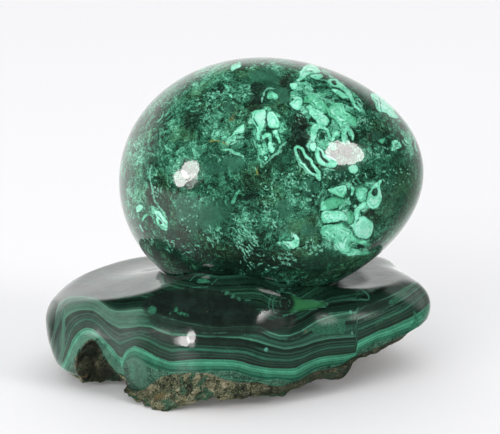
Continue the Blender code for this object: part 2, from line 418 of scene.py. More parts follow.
def stand_rows(directions):
    """Rows of points from under the stand's middle up its side to its crown, with their roughness."""
    radius, bottom, matrix_line, shoulder, roll, ledge = stand_curves(directions)
    ledge = np.maximum(ledge, 0.0)
    ledge_foot = np.maximum(bottom, matrix_line - LEDGE_HEIGHT)
    ray = np.column_stack((np.cos(directions), np.sin(directions)))
    lean = SIDE_LEAN + LEFT_LEAN * smooth_step(*LEFT_LEAN_FACING, -ray[:, 0])
    rows = []

    def add_row(reach, height, rough):
        spot = STAND_MIDDLE + ray * reach[:, None]
        rows.append((np.column_stack((spot, height)), rough * np.ones(len(directions))))

    def height_along(surface, reach):
        spot = STAND_MIDDLE + ray * reach[:, None]
        return surface(spot[:, 0], spot[:, 1])

    for share in np.linspace(0.0, 1.0, STAND_UNDERSIDE_ROWS + 1)[1:]:
        reach = (radius - EDGE_ROUNDING - lean) * share
        blend = smooth_step(*UNDERSIDE_BLEND, share)
        add_row(reach, height_along(underside, reach) * (1.0 - blend) + bottom * blend, 1.0)
    for share in np.linspace(0.0, 1.0, STAND_SIDE_ROWS + 1)[1:]:
        height = bottom + (shoulder - bottom) * share
        rounding = EDGE_ROUNDING * max(0.0, 1.0 - share / EDGE_ROUNDING_SHARE) ** 2
        border_low, border_high = matrix_line - MATRIX_BORDER, matrix_line + MATRIX_BORDER
        rough = 1.0 - smooth_step(border_low, border_high, height)
        inset = lean * (1.0 - share) ** 2 + rounding
        inset = inset + ledge * smooth_step(ledge_foot, border_high, height)
        add_row(radius - inset - MATRIX_STEP * rough, height, rough)
    for share in np.linspace(0.0, 1.0, STAND_ROLL_ROWS + 1)[1:]:
        angle = share * math.pi / 2
        reach = radius - ledge - roll * (1.0 - math.cos(angle))
        height = shoulder + (height_along(crown, reach) - shoulder) * math.sin(angle)
        add_row(reach, height, 0.0)
    for share in np.linspace(1.0, 0.0, STAND_TOP_ROWS + 1)[1:-1]:
        reach = (radius - ledge - roll) * share
        add_row(reach, height_along(crown, reach), 0.0)
    return ray, rows


def roughen(points, ray, rough):
    """Push points of the matrix in and out, as broken stone, and less on the hidden sides."""
    away = np.column_stack((ray, np.full(len(ray), -MATRIX_PUSH_DOWN)))
    away /= np.linalg.norm(away, axis=1)[:, None]
    result = points.copy()
    for index in np.nonzero(rough > BARELY_ROUGH)[0]:
        spot = Vector(points[index])
        hidden = max(smooth_step(*CALM_RIGHT, spot.x), smooth_step(*CALM_BACK, spot.y))
        strength = 1.0 - CALM_SHARE * hidden
        relief = strength * (MATRIX_LUMP * lumps(spot) + MATRIX_GRAIN * grains(spot))
        result[index] += away[index] * (rough[index] * relief)
    return result


def stand_mesh(name):
    """The stand's skin before its hollows are cut, with more columns on its front."""
    directions = columns(math.pi, STAND_FRONT_TURN, STAND_FRONT_COLUMNS, STAND_BACK_COLUMNS)
    ray, rows = stand_rows(directions)
    placed = np.array([roughen(points, ray, rough) for points, rough in rows])
    poles = [(*STAND_MIDDLE, float(surface(*STAND_MIDDLE))) for surface in (underside, crown)]
    return closed_grid(name, placed, *poles)


def cut_at_ground(mesh):
    """Take off what reaches below the ground and close the feet flat."""
    bm = bmesh.new()
    bm.from_mesh(mesh)
    ground = bmesh.ops.bisect_plane(
        bm,
        geom=bm.verts[:] + bm.edges[:] + bm.faces[:],
        dist=1e-7,
        plane_co=(0.0, 0.0, 0.0),
        plane_no=(0.0, 0.0, 1.0),
        clear_inner=True,
    )
    cut_edges = [item for item in ground["geom_cut"] if isinstance(item, bmesh.types.BMEdge)]
    bmesh.ops.edgeloop_fill(bm, edges=cut_edges)
    bmesh.ops.recalc_face_normals(bm, faces=bm.faces[:])
    bm.to_mesh(mesh)
    bm.free()


def cave_mesh(name):
    """The arched hollow's shape: a rough egg-shaped lump."""
    bm = bmesh.new()
    around, upwards = CAVE_SEGMENTS
    bmesh.ops.create_uvsphere(bm, u_segments=around, v_segments=upwards, radius=1.0)
    turn = Matrix.Rotation(CAVE_TURN, 3, "Z")
    for vertex in bm.verts:
        size = CAVE_HALF_SIZE
        spot = Vector((vertex.co.x * size.x, vertex.co.y * size.y, vertex.co.z * size.z))
        relief = CAVE_LUMP * lumps(spot * CAVE_LUMP_FINENESS)
        relief += CAVE_GRAIN * grains(spot * CAVE_GRAIN_FINENESS)
        spot += vertex.co * relief
        vertex.co = (turn @ spot + CAVE_PLACE) * MM
    mesh = bpy.data.meshes.new(name)
    bm.to_mesh(mesh)
    bm.free()
    return mesh


def cut_out(obj, cutter_meshes):
    """Take shapes out of an object for good."""
    for mesh in cutter_meshes:
        cutter = new_object(mesh.name, mesh)
        modifier = obj.modifiers.new(mesh.name, "BOOLEAN")
        modifier.operation = "DIFFERENCE"
        modifier.solver = "EXACT"
        modifier.object = cutter
        graph = bpy.context.evaluated_depsgraph_get()
        made = bpy.data.meshes.new_from_object(obj.evaluated_get(graph))
        obj.modifiers.clear()
        obj.data = made
        bpy.data.objects.remove(cutter, do_unlink=True)


# Markings of the egg, as outlines in the front drawing

PALE_SHAPES = {
    "pod": (
        (293.6, 147.5), (296.5, 144.8), (300.4, 145.6), (304, 150), (308, 155.5), (313, 161.5),
        (318, 168), (321, 175), (322, 181), (317, 178.5), (310.5, 173.5), (304, 167.5), (298.4, 160),
        (294.8, 153),
    ),
    "right leg of the small arch": (
        (341, 139), (342, 130.5), (345.8, 124.4), (351, 128), (354.4, 136), (353, 142), (350.6, 136.5),
        (347.6, 129.8), (345.6, 134), (346.4, 141), (343.6, 144),
    ),
    "left leg of the small arch": (
        (330.6, 142), (331.6, 134.5), (335.8, 129.6), (340.4, 132.4), (339.6, 137.4), (336.4, 134.4),
        (334, 141),
    ),
    "left tooth": (
        (249.5, 112.5), (252.5, 112.5), (255, 109.5), (265.5, 109.5), (266, 115), (264.5, 121),
        (264, 129), (261, 131), (260, 135), (259, 140.5), (257, 140), (256.5, 132), (255, 125),
        (251, 119), (252.5, 116),
    ),
    "right tooth": (
        (267.5, 112.5), (271, 111), (273.5, 112), (278, 117.5), (279, 123), (279.5, 127.5), (274, 128.5),
        (270, 127.5), (266.7, 121), (267, 116),
    ),
    "left finger": (
        (260, 141), (261.5, 137), (265, 132.5), (268, 131.5), (271, 134), (271.7, 140), (272.5, 145),
        (274.5, 149), (273.5, 152.7), (271, 153.7), (268.7, 151), (268.3, 147), (269, 142), (267.5, 137),
        (264.5, 138), (262, 141.5),
    ),
    "right finger": (
        (271.5, 130.5), (277, 129.5), (278.7, 134), (279.5, 138), (281.5, 143), (279.5, 144),
        (276.7, 140), (275.7, 136), (272.5, 134),
    ),
    "bead under the fingers": ((257.3, 144), (261.2, 144.3), (261, 147.2), (257.5, 147)),
    "drop under the fingers": ((264, 156), (266.8, 156), (267, 159.5), (265.3, 161), (264, 159)),
    "upper bead": ((290, 83.5), (294, 82.3), (297.7, 84), (296.7, 89), (292, 90.2), (289.3, 87)),
    "plaque": (
        (288.6, 104.5), (293, 100), (295.5, 97.3), (297.3, 96), (302, 98), (302.7, 103), (301.5, 108),
        (299, 110.2), (295, 109.2), (290.3, 106.5),
    ),
    "shelf": (
        (304.7, 106.5), (309, 103.5), (315, 109), (319.5, 110.5), (325, 112.5), (320, 116),
        (315.5, 121.3), (311, 115.5), (307.3, 110),
    ),
    "disc": (
        (317.3, 118.5), (320, 115.6), (324, 114.8), (328, 117), (329.3, 121), (327, 125), (322.5, 125.8),
        (318, 123.8), (315.5, 121.4),
    ),
    "horseshoe": (
        (310.6, 141), (310.3, 133), (311.2, 126.5), (315, 123.2), (320, 123.4), (325.5, 126.5),
        (329.5, 131.5), (331.5, 138), (331, 142), (329.4, 139.5), (327, 133), (322.5, 128.2),
        (318.3, 128.2), (316.3, 132.5), (316.3, 140),
    ),
    "block under the horseshoe": (
        (309.3, 142.8), (315, 141.4), (316.3, 147), (313.3, 152.5), (309.8, 148),
    ),
    "shoe": (
        (315, 151.5), (317.7, 147), (321.7, 147.8), (325, 154), (331, 156.5), (336, 159.5), (338.3, 164),
        (335, 167.3), (328, 167.5), (321.7, 166), (317, 161), (314.3, 156),
    ),
    "top patch": (
        (301, 69), (305, 65), (312, 63.5), (318.5, 67), (320.5, 72), (314, 73.7), (309, 74.7),
        (306.5, 76.3), (304, 79), (298, 81.7), (294.5, 79), (300, 76), (299.3, 72),
    ),
    "top patch foot": (
        (310, 76), (318.5, 73), (323.7, 75), (323.3, 77.3), (318, 79), (313.5, 79.2), (311, 77.6),
    ),
    "long leaf": (
        (326.7, 80.5), (331, 77.7), (337, 79.7), (341.5, 83), (345.5, 86.7), (349.5, 91), (352.3, 95.5),
        (354.5, 101), (357.5, 107), (361.5, 113), (358.3, 111.7), (354.6, 107.2), (351, 102), (348, 97),
        (344.3, 92.3), (340, 88.7), (335, 87), (331, 85.7), (327.6, 83.3),
    ),
    "second leaf": (
        (330.5, 89.2), (335, 88.6), (341, 90.7), (345.5, 94), (349.3, 97.8), (345, 99), (339, 96),
        (334.5, 93.3),
    ),
    "rim patch": (
        (369.5, 93), (374.5, 92), (380, 95), (385, 99), (391, 105.5), (396.5, 113), (399, 119),
        (394, 117.4), (390, 116.3), (384, 112.4), (381, 112), (377, 110), (374, 103.5), (371.5, 97),
    ),
    "chequered stone": (
        (390.7, 142.5), (395, 139.6), (399.3, 140.3), (401.6, 145), (400.6, 148.3), (395, 150.3),
        (392.3, 151), (391, 147),
    ),
    "bead under the right glint": (
        (348, 166), (355, 164.7), (358.4, 168), (357.7, 173.2), (349.3, 173.7),
    ),
    "wedge": (
        (327, 189.3), (335, 186.3), (344, 184.2), (347.8, 189), (346, 194.2), (343, 197.7), (337, 196.2),
        (331, 192.3),
    ),
    "bar": ((351, 186.4), (354.2, 186.4), (354.2, 192), (352.6, 195.8), (350, 195), (351, 190)),
    "teardrop": (
        (378.5, 180.3), (381.7, 179.7), (380.4, 185), (380.6, 189), (381.3, 194), (381.6, 201),
        (379, 206.2), (374, 209), (369, 207.7), (366, 202), (367.5, 196), (368.3, 191), (372, 186),
        (376, 182.4),
    ),
    "snake": (
        (361, 203), (365, 199.7), (366.7, 205), (364, 209.4), (360.5, 210.4), (359, 213.5), (357.6, 218),
        (356, 220), (353.7, 215), (353.8, 210), (356.5, 206.6), (359, 204.3),
    ),
    "slab": (
        (321.4, 212), (327, 210.7), (335, 211.3), (343.3, 210.8), (345.3, 214), (345, 220.2),
        (337, 221.3), (328, 222.4), (321.9, 223), (320.9, 217),
    ),
    "moon": (
        (357, 217), (361, 216), (366, 216.6), (371, 220), (373.4, 225.5), (373, 232.5), (370, 238),
        (365, 239.7), (359, 237.2), (354, 233), (351, 227.6), (348.7, 224.3), (353, 223.6), (355.2, 220),
    ),
    "crescent": (
        (282.8, 240.4), (287.2, 241.8), (292.8, 240.2), (294.2, 237.3), (291.5, 234.7), (296.3, 234.8),
        (298.8, 237.6), (300.4, 242.3), (298.3, 246.4), (292.8, 248.7), (288.1, 248.9), (285.6, 244.8),
        (283, 242.8),
    ),
    "rim sheen": (
        (230.5, 66), (236, 63.3), (241.4, 62.3), (241, 66), (236, 68.3), (233, 71.7), (230.3, 70),
    ),
    "fan": (
        (244.3, 123.6), (239, 126), (235, 130), (231, 135), (226, 139), (222.6, 142), (227.4, 138.8),
        (233.4, 134.8), (240, 133.7), (244.3, 132.3),
    ),
    "lacy stone": (
        (154.2, 212.2), (157.8, 210.8), (161.9, 214), (166.2, 219), (168, 225.6), (166.9, 231.3),
        (162.6, 230), (158.8, 226.7), (155.4, 222.2), (157, 217.8),
    ),
    "left rim stone": ((135.5, 206), (140, 204), (144, 207.5), (141.5, 211.5), (136, 212.5)),
}

PALE_HOLES = {
    "inside of the pod": (
        (296.6, 149.3), (299, 148.4), (302, 152.6), (306, 158), (311, 164), (315.4, 170.4), (316.6, 175),
        (311, 170.8), (305, 165), (300, 158), (297.2, 153),
    ),
    "crack in the left tooth": ((253.5, 117.5), (255, 118.3), (258.4, 127.8), (257, 127)),
    "slit of the shoe": (
        (318.8, 149.5), (320.6, 151.5), (322, 155.3), (325.6, 159), (328.8, 162.5), (325.8, 163.2),
        (322.2, 159.2), (319.3, 155),
    ),
    "core of the long leaf": ((330.4, 80.6), (333.7, 80.3), (337.3, 84), (335.2, 85.3), (331.7, 83.5)),
    "eye of the teardrop": (
        (371.3, 190.8), (373, 188.3), (376.7, 188.1), (378.6, 191), (377.6, 194.7), (374, 196),
        (371.4, 194.2),
    ),
    "mouth of the crescent": ((288, 238), (291.3, 236.7), (293.5, 238), (292, 240.4), (288.6, 240.8)),
    "hole in the lacy stone": ((158.4, 220.2), (161, 220.8), (162.6, 223.8), (160.2, 224.3)),
}

MID_SHAPES = {
    "swirl": (
        (302.5, 97), (309, 94), (315, 93.7), (319, 98), (325, 103), (328.2, 107), (327.3, 112.3),
        (321, 113.5), (314, 109.5), (309, 102.5), (303.5, 103.5),
    ),
    "green field": (
        (328, 107), (333, 103), (338, 101.6), (341.7, 103.3), (345.5, 110), (351, 114.7), (357, 118.7),
        (356.7, 124.3), (352, 125.4), (347, 123.7), (344, 125.3), (341, 130.3), (338.6, 124.4),
        (335, 119.3), (329, 117.3), (327.6, 112),
    ),
    "leaf's shade": ((345, 86.3), (350, 89.5), (355, 93.8), (359.7, 97), (354.3, 96.8), (350, 93)),
    "square": (
        (356.8, 187.3), (365, 187.3), (368.2, 189.5), (367.5, 192.3), (364.6, 194.3), (367, 200),
        (365, 202), (360.5, 202), (356.8, 199), (355.7, 192),
    ),
    "arched block": (
        (320, 205), (322, 201.7), (326, 198.8), (332, 196.8), (338, 197.3), (344.3, 199), (344.7, 202),
        (339, 205), (337, 207.7), (333, 209.7), (328, 210.4), (325, 211.5), (322.3, 210), (321, 208),
    ),
    "button": (
        (346.6, 212), (351.7, 210.2), (355.2, 214), (354.6, 221), (351, 224), (347.8, 222), (346.2, 217),
    ),
    "lower fan": (
        (319, 232.6), (321.8, 226), (326, 223.8), (333, 224), (340, 223.8), (345, 225), (349.3, 229),
        (351.4, 233), (354, 235), (359, 239.5), (365, 241), (371.5, 242), (371, 244), (367, 246.3),
        (361, 245.4), (355, 241), (351, 241), (348, 244), (351, 248), (359, 250), (370.5, 251.3),
        (371.3, 254.3), (357, 255), (349, 255.8), (342, 254.3), (337, 248), (335, 244.7), (331, 239.4),
        (325, 236.3),
    ),
    "green triangle": ((378, 139), (386.3, 135.7), (383.5, 145.3), (379.3, 142.3)),
    "hook": (
        (265.5, 96), (268, 92.3), (272.5, 91), (277, 93.3), (278, 98.5), (275.3, 101), (272.3, 98.3),
        (268.5, 99),
    ),
    "streak": (
        (219, 149.7), (225, 148), (233, 150), (241.8, 153.2), (240.5, 154.8), (233, 152.4), (226, 151),
    ),
    "upper left streak": (
        (221.6, 83), (224, 82.7), (228, 86.4), (231.3, 90.5), (229.7, 92), (225.3, 88.3),
    ),
    "upper left streak end": ((228, 93.7), (231, 94), (232.3, 98.3), (229.3, 98.6)),
    "small pod": (
        (237.5, 190), (240.3, 190.3), (237.8, 195.6), (234.7, 203.8), (231.8, 204.4), (231, 199.6),
    ),
    "left rim leaf": ((146.7, 213), (148.2, 215), (143, 221), (140.7, 222), (142, 217.5)),
}

SOFT_SHAPES = {
    "soft disc": (
        (276.5, 206), (279, 201), (285, 199.6), (290.5, 202.5), (293.3, 209), (291.3, 215.6),
        (286, 218.8), (280.5, 217.5), (277, 212.5),
    ),
    "left green stone": (
        (177, 193), (186, 194.5), (197, 196), (198, 206), (197.3, 218), (198.5, 232), (193, 236),
        (188, 230), (183.5, 223), (178, 217.5), (175.7, 208),
    ),
    "left smoky stone": (
        (199, 206), (212, 205), (228, 206.5), (231, 213), (226, 219.5), (213, 226), (203, 231),
        (198.6, 226),
    ),
    "stone under the wavy line": (
        (333, 98), (341, 97.5), (349, 100.5), (351, 104), (346, 106.5), (342, 101.8), (335, 101.5),
    ),
    "stone right of the disc": ((329, 119), (334, 117.5), (339, 121), (340, 127), (336, 131), (331, 129)),
    "stone by the green triangle": ((371, 131), (378, 129.5), (383, 134), (380, 140), (373, 139)),
    "stone left of the wedge": (
        (300, 181), (308, 178), (316, 180), (321, 186), (317, 193), (307, 195), (300, 190),
    ),
    "stone under the crescent": ((300, 224), (310, 221), (317, 226), (316, 236), (307, 239), (300, 233)),
    "stone left of the teeth": ((222, 103), (231, 101), (236, 107), (232, 113), (224, 112)),
    "stone at the top": ((246, 70), (262, 67), (276, 71), (279, 78), (266, 81.5), (250, 79)),
    "stone right of the hook": ((277, 89), (285, 87), (290, 94), (288, 103), (280, 105), (277, 98)),
    "stone under the right glint": ((336, 171), (345, 169), (349, 175), (343, 180), (335, 178)),
    "stone by the left glint": ((203, 164), (214, 161), (224, 166), (222, 174), (210, 177), (203, 172)),
    "stone under the streak": ((226, 155), (238, 156), (245, 163), (240, 171), (228, 169), (223, 162)),
}

BED_SHAPES = {
    "bed of the right group": (
        (328, 188), (346, 184), (352, 186), (362, 186), (372, 182), (379, 180), (378, 189), (382, 197),
        (378, 209), (363, 210), (371, 221), (372, 236), (366, 241), (371, 246), (367, 256), (346, 255),
        (334, 246), (326, 238), (319, 234), (318, 212), (320, 202), (330, 196),
    ),
    "bed of the upper group": (
        (299, 66), (316, 62), (330, 71), (345, 82), (357, 97), (366, 113), (355, 127), (341, 131),
        (333, 124), (320, 130), (309, 124), (303, 112), (293, 109), (288, 98), (291, 86), (298, 78),
    ),
    "bed of the teeth": (
        (250, 110), (264, 107), (279, 111), (288, 126), (286, 141), (275, 153), (264, 164), (257, 157),
        (254, 144), (249, 128),
    ),
    "bed of the rings": (
        (309, 124), (324, 119), (333, 127), (345, 124), (354, 131), (352, 141), (336, 148), (338, 165),
        (329, 170), (317, 164), (309, 150), (306, 137),
    ),
    "bed by the left edge": ((148, 205), (158, 206), (167, 219), (168, 231), (159, 230), (151, 222)),
    "bed of the crescent": ((279, 237), (291, 232), (300, 238), (298, 249), (287, 251), (279, 246)),
    "bed by the right edge": ((388, 141), (400, 139), (414, 137), (417, 146), (404, 150), (390, 152)),
    "bed left of the teeth": ((222, 138), (240, 124), (244, 128), (243, 138), (232, 143), (226, 146)),
}

DARK_SHAPES = {
    "dark slab": (
        (249, 84), (257, 82), (264.5, 82.6), (263, 90), (260.5, 96), (261, 104), (262.5, 108.5),
        (256, 108), (251, 105.5), (249.8, 98),
    ),
    "core of the swirl": ((313.5, 102.3), (317.3, 104.3), (320.7, 108), (318.7, 109), (315, 106)),
    "core of the green field": (
        (338.3, 103.6), (342.3, 104), (347, 107.7), (349.3, 111.3), (345, 111.8), (341, 108),
    ),
    "ringed stone": (
        (331, 122), (334, 119.7), (337.5, 121.3), (338.3, 126), (336, 129.3), (332, 128.5),
        (330.2, 125.4),
    ),
    "inside the horseshoe": (
        (317.7, 138.7), (318.2, 132.6), (321, 129.8), (324.4, 131.3), (327.4, 136), (328.5, 141),
        (323, 142.5), (318.6, 141.7),
    ),
    "brown field": (
        (290, 127), (297, 122.5), (303, 119), (308.5, 121.5), (308.7, 131), (308.3, 141), (309.2, 150),
        (313, 158), (317, 166), (314.5, 167.4), (309.5, 161.5), (305.3, 154), (302, 147.7), (298.5, 144),
        (293.3, 141), (291.6, 134),
    ),
    "dark wedge": (
        (359.7, 213.7), (365, 210.8), (371, 209.7), (381.5, 208.6), (378, 211.8), (374, 213.2),
        (375.4, 217), (377.2, 222), (376, 225.5), (373.3, 219), (369, 216.3), (364, 215.3),
    ),
    "recess under the moon": (
        (350.6, 241.3), (354.3, 240.3), (358, 243.6), (364, 247), (371.6, 246), (370.7, 248.7),
        (360, 249.3), (353.6, 247.4),
    ),
    "gap between bar and snake": ((347.5, 199), (354, 197.5), (358, 202.3), (353.6, 206.3), (347, 206.6)),
    "slot of the arched block": ((335.6, 208.3), (340, 206.7), (345.6, 208), (344.7, 210), (337, 210.2)),
    "pool by the wavy lines": (
        (303, 87.5), (307, 84.3), (315, 83.3), (321.5, 86), (326.5, 91), (333, 94.7), (331.7, 97.4),
        (325.5, 97), (319.7, 93), (314, 90.3), (308.5, 92.6), (305, 91.5),
    ),
    "recess under the leaf": (
        (349, 104), (353.5, 107.5), (358.3, 113.7), (364, 117.5), (362, 121.7), (356, 117.3),
        (350.3, 112.6),
    ),
    "dark spot by the tooth": ((280, 122), (284, 120.6), (286.7, 124), (284, 127.6), (280.4, 126)),
    "dark spot above the bead": ((280.5, 80.7), (286, 79.4), (288.4, 82), (285, 86), (281, 84.5)),
    "brown pit": ((381.6, 130.7), (386.5, 129.3), (392.6, 131.5), (388.4, 133.7), (384, 133)),
    "left pit": ((217, 89.5), (220.6, 87.6), (224.4, 89.8), (221.6, 92.4), (217.6, 91.6)),
    "left crumb": ((205, 104), (208.4, 103), (209.6, 106.8), (206.6, 108.4)),
    "middle crumb": ((235, 101), (238.4, 100), (239.6, 104.6), (236.8, 106), (235.6, 103.6)),
    "dark vein foot": ((149, 217), (152.6, 215.4), (154.4, 219.6), (152, 223.6), (148.6, 222)),
}

# Strokes on the egg: their width and their path.
PALE_LINES = {
    "upper blade of the fan": (1.5, (226, 141), (231, 136), (237, 132.5), (243, 131)),
    "lower blade of the fan": (1.4, (226, 143.5), (232, 140), (238, 137.5), (243, 136.5)),
    "lowest blade of the fan": (1.2, (228, 146), (234, 143.5), (240, 142)),
    "long streak under the fan": (2.0, (223, 149.5), (230, 151), (237, 154), (243, 156.5)),
    "left of the teeth": (1.2, (254, 139.5), (254.7, 143), (255.7, 147.7)),
    "diagonal thread": (
        1.9, (264.5, 163.6), (269, 159.5), (274, 155.5), (278.6, 152.8), (280, 149), (283, 145),
        (285.7, 142.4),
    ),
    "rim of the pod, left": (
        1.5, (299.4, 145.6), (295.6, 148.8), (295.6, 156), (299, 163), (303.3, 169.2), (309, 172.3),
        (315, 176.3), (319.6, 180.2),
    ),
    "rim of the pod, right": (
        1.3, (299.4, 145.8), (302.4, 150), (305.5, 157.5), (310, 163.7), (315, 169.9), (319.8, 176.5),
    ),
    "inside the pod": (1.2, (298.4, 151), (299.6, 156.4), (303.4, 162), (306.6, 166.8), (311.6, 170.6)),
    "inner ring of the horseshoe": (
        1.0, (318, 139.5), (318, 133.3), (321, 130), (325.2, 133), (328.3, 139),
    ),
    "beside the shoe": (1.1, (324, 147.7), (326, 151.3), (329.5, 154.3)),
    "under the shoe": (1.3, (321.3, 170.5), (324.5, 168.6), (329, 168.4), (334.5, 170.3)),
    "wavy line": (
        1.5, (303, 89.7), (305, 93.3), (308.5, 94.7), (314.7, 93.4), (319, 96), (323.7, 99.3),
        (328, 100), (333.2, 98.4),
    ),
    "loop beside the leaf": (1.3, (354, 99.3), (358.6, 98.6), (362, 102.4), (361.6, 107), (360, 110.5)),
    "specks of the loop": (1.2, (357.4, 101), (359, 104.6), (361, 107.6)),
    "small arches": (
        1.6, (332, 134.5), (333, 131), (336.7, 130.3), (339.6, 133.2), (341.3, 129.7), (343.6, 125.6),
        (347.3, 124.8), (351, 128.8), (352.8, 134.5), (352.4, 139.5),
    ),
    "inside the small arch": (2.4, (345, 134.5), (346.6, 138.6), (349, 143)),
    "shine of the small arch": (1.2, (347.6, 130.3), (348.7, 133.6), (351, 136.8)),
    "right of the chequers": (1.2, (402, 139.8), (404.6, 144.7), (408.8, 146.3)),
    "right rim threads": (1.2, (409.7, 136.6), (411, 144.5), (409, 148.6)),
    "outer rim thread": (1.0, (413.7, 138), (415.6, 146), (416.7, 151)),
    "hook's shadow line": (1.1, (261.5, 102), (262.3, 96), (265.4, 90.4), (270.5, 87.8), (277, 88.8)),
    "ring in the teardrop": (0.8, (371, 187.6), (374.4, 186.4), (378.4, 188.3), (379.7, 193)),
    "arc of the fan": (1.1, (229.5, 143.2), (234.6, 138.6), (244, 136.8)),
    "second arc of the fan": (0.9, (231, 144.3), (236.5, 141.2), (243, 140.5)),
    "left vein": (
        1.5, (151.4, 166.5), (150, 171), (149.8, 177), (150.6, 182), (152.3, 190), (153.3, 196.7),
        (155, 201.3), (159.4, 207.7), (164, 213), (167, 218),
    ),
    "left stroke": (1.5, (165.3, 145.8), (168, 149), (171, 150.7)),
    "left dash": (1.3, (152, 153.4), (154.6, 155.6)),
    "left rim stroke": (1.3, (139.4, 224.3), (143.2, 231.3)),
    "leftmost thread": (1.0, (163.6, 113), (161.3, 118.4), (157, 122)),
    "little tick": (1.0, (232.4, 217.6), (234, 219.3), (237, 217)),
    "comet": (1.1, (300.3, 200.7), (302.6, 204), (306, 207.8)),
    "comet's head": (2.4, (305.8, 207.6), (306.6, 208.3)),
    "star": (2.4, (292, 198.6), (293, 199.8)),
    "dotted vein": (1.6, (272.5, 219.5), (273.6, 223.4), (276.8, 227.2)),
    "middle thread": (1.0, (271, 186), (272.8, 180.6), (276.5, 177.3)),
}

DARK_LINES = {
    "crack under the slab": (
        1.1, (320.5, 223.6), (330, 222.7), (337, 222), (345, 222.2), (351, 227), (354.3, 231.5),
    ),
    "edge of the long leaf": (1.1, (333, 88), (341, 88.9), (346, 93.4)),
    "mark on the moon": (0.9, (356.4, 222.3), (358.8, 218.6)),
    "upper chequer": (0.7, (393, 142), (400, 148)),
    "lower chequer": (0.7, (391.5, 144.6), (397.3, 150)),
    "cross chequer": (0.7, (398.7, 141), (393.3, 149.7)),
    "left crack of the rim patch": (0.9, (375, 99), (377.7, 104), (378, 109.3)),
    "right crack of the rim patch": (0.9, (378, 98.6), (380.2, 102.3), (381.6, 112)),
    "crack in the crescent": (0.9, (284.4, 242.4), (289, 245.3), (291.6, 248)),
    "gap between the teeth": (1.0, (266.4, 110), (266.3, 118), (265.5, 128.6), (272, 129)),
    "lace": (1.0, (156.6, 214.6), (161, 218.6), (166, 225.4)),
    "lower lace": (0.9, (158, 223.6), (163, 227.6), (166.6, 229)),
    "left hair crack": (1.1, (146, 111.5), (151.5, 109), (157, 107.5)),
    "fold of the top patch": (0.9, (302.6, 72), (308, 70.4), (313.6, 72.6)),
    "groove of the shoe": (1.2, (322.6, 158), (325.4, 161.3), (327.8, 162.3)),
}

GOLD_SPECKS = {
    "long gold speck": (2.0, (209.5, 141), (214, 141.3), (219.5, 141.6)),
    "gold by the fan": (1.6, (222.5, 141.5), (225, 143.6), (227.6, 144)),
    "middle gold speck": (1.6, (257.5, 166.5), (257.2, 170), (257.6, 174.5)),
}

ORANGE_SPOTS = {
    "orange spot": (4.6, (229.6, 120.6), (233, 118.4)),
    "orange tail": (1.8, (233.6, 114.6), (235, 113.4)),
}

# Soft clouds on the egg: x, y, half width, half height, turn in degrees, and how much
# lighter, browner or calmer they make it. The lighter and darker ones are partly the stone's own
# tone and partly painted light: painted shade along the egg's bottom and painted sheen on its rims.
TONE_AND_PAINTED_LIGHT_CLOUDS = {
    "lower left": (190, 235, 38, 24, 0, -0.08),
    # Painted shade along the egg's bottom.
    "bottom": (250, 272, 90, 10, 0, -0.16),
    "lower left field": (160, 208, 13, 18, -30, -0.16),
    "belt above the teeth": (255, 113, 26, 12, 0, -0.1),
    "field left of the marks": (290, 108, 12, 20, 0, -0.14),
    "pale spot at the top": (280, 71, 9, 6, 0, 0.4),
    # Painted sheen of reflection on the egg's rims.
    "painted sheen high on the left rim": (172, 98, 12, 12, -45, 0.2),
    "painted sheen on the right rim": (411, 148, 8, 18, 0, 0.22),
    "painted sheen on the upper left rim": (210, 77, 22, 9, -25, 0.5),
    "left flank": (180, 152, 28, 26, 0, 0.17),
    "belt under the teeth": (252, 153, 24, 12, 0, -0.11),
    "hollow under the teeth": (284, 175, 12, 8, 0, -0.12),
    "field right of the right glint": (366, 152, 12, 14, 0, 0.12),
    # Painted shade along the egg's bottom.
    "right foot": (325, 264, 48, 11, 0, -0.14),
    "upper left haze": (222, 105, 30, 26, 0, 0.1),
    "light crust above the pits": (235, 92, 16, 10, 20, 0.08),
    "bright crust, upper middle": (210, 102, 18, 14, -25, -0.12),
    "crust by the orange spot": (222, 126, 15, 12, 0, 0.12),
    "dark granules": (192, 119, 15, 9, -35, -0.2),
    "dark belt": (178, 140, 22, 10, -20, 0.04),
    "left belt": (161, 168, 9, 18, 10, -0.04),
    "smooth green top": (252, 74, 26, 8, 0, 0.1),
    "brown shadow at the top": (288, 74, 9, 9, 0, -0.06),
    "grey band by the tooth": (247, 128, 4, 22, 0, -0.16),
    "band right of the teeth": (291, 110, 8, 14, 0, 0.02),
    "brown band": (302, 130, 12, 20, 10, -0.3),
    "dark middle": (279, 165, 18, 14, 0, -0.12),
    "granular middle": (255, 190, 14, 18, 0, -0.24),
    "plumes": (247, 220, 22, 20, 0, 0.06),
    "dotted field": (270, 208, 14, 24, 10, 0.0),
    "smoky lower left": (175, 235, 22, 16, 20, -0.14),
    # Painted shade along the egg's bottom.
    "painted shade at the foot": (220, 260, 64, 15, 3, -0.38),
    "lower middle": (260, 250, 30, 16, 0, -0.12),
    "smooth lower middle": (300, 218, 24, 20, 0, 0.1),
    "field left of the slab": (300, 198, 22, 10, 0, 0.07),
    "right dark field": (398, 195, 26, 42, 0, -0.04),
    "right green veil": (397, 222, 14, 24, -25, 0.1),
    "upper right dark": (360, 132, 24, 12, 0, -0.04),
    "upper right rim": (350, 90, 22, 8, 35, -0.08),
    "granular upper right": (366, 120, 12, 8, 0, 0.05),
    # Painted sheen of reflection on the left rim.
    "painted sheen on the left rim": (137, 150, 13, 18, 0, 0.2),
    "painted sheen low on the left rim": (134, 200, 10, 28, 0, 0.16),
    # Painted shade along the egg's bottom.
    "left foot": (160, 246, 24, 8, 35, -0.1),
}

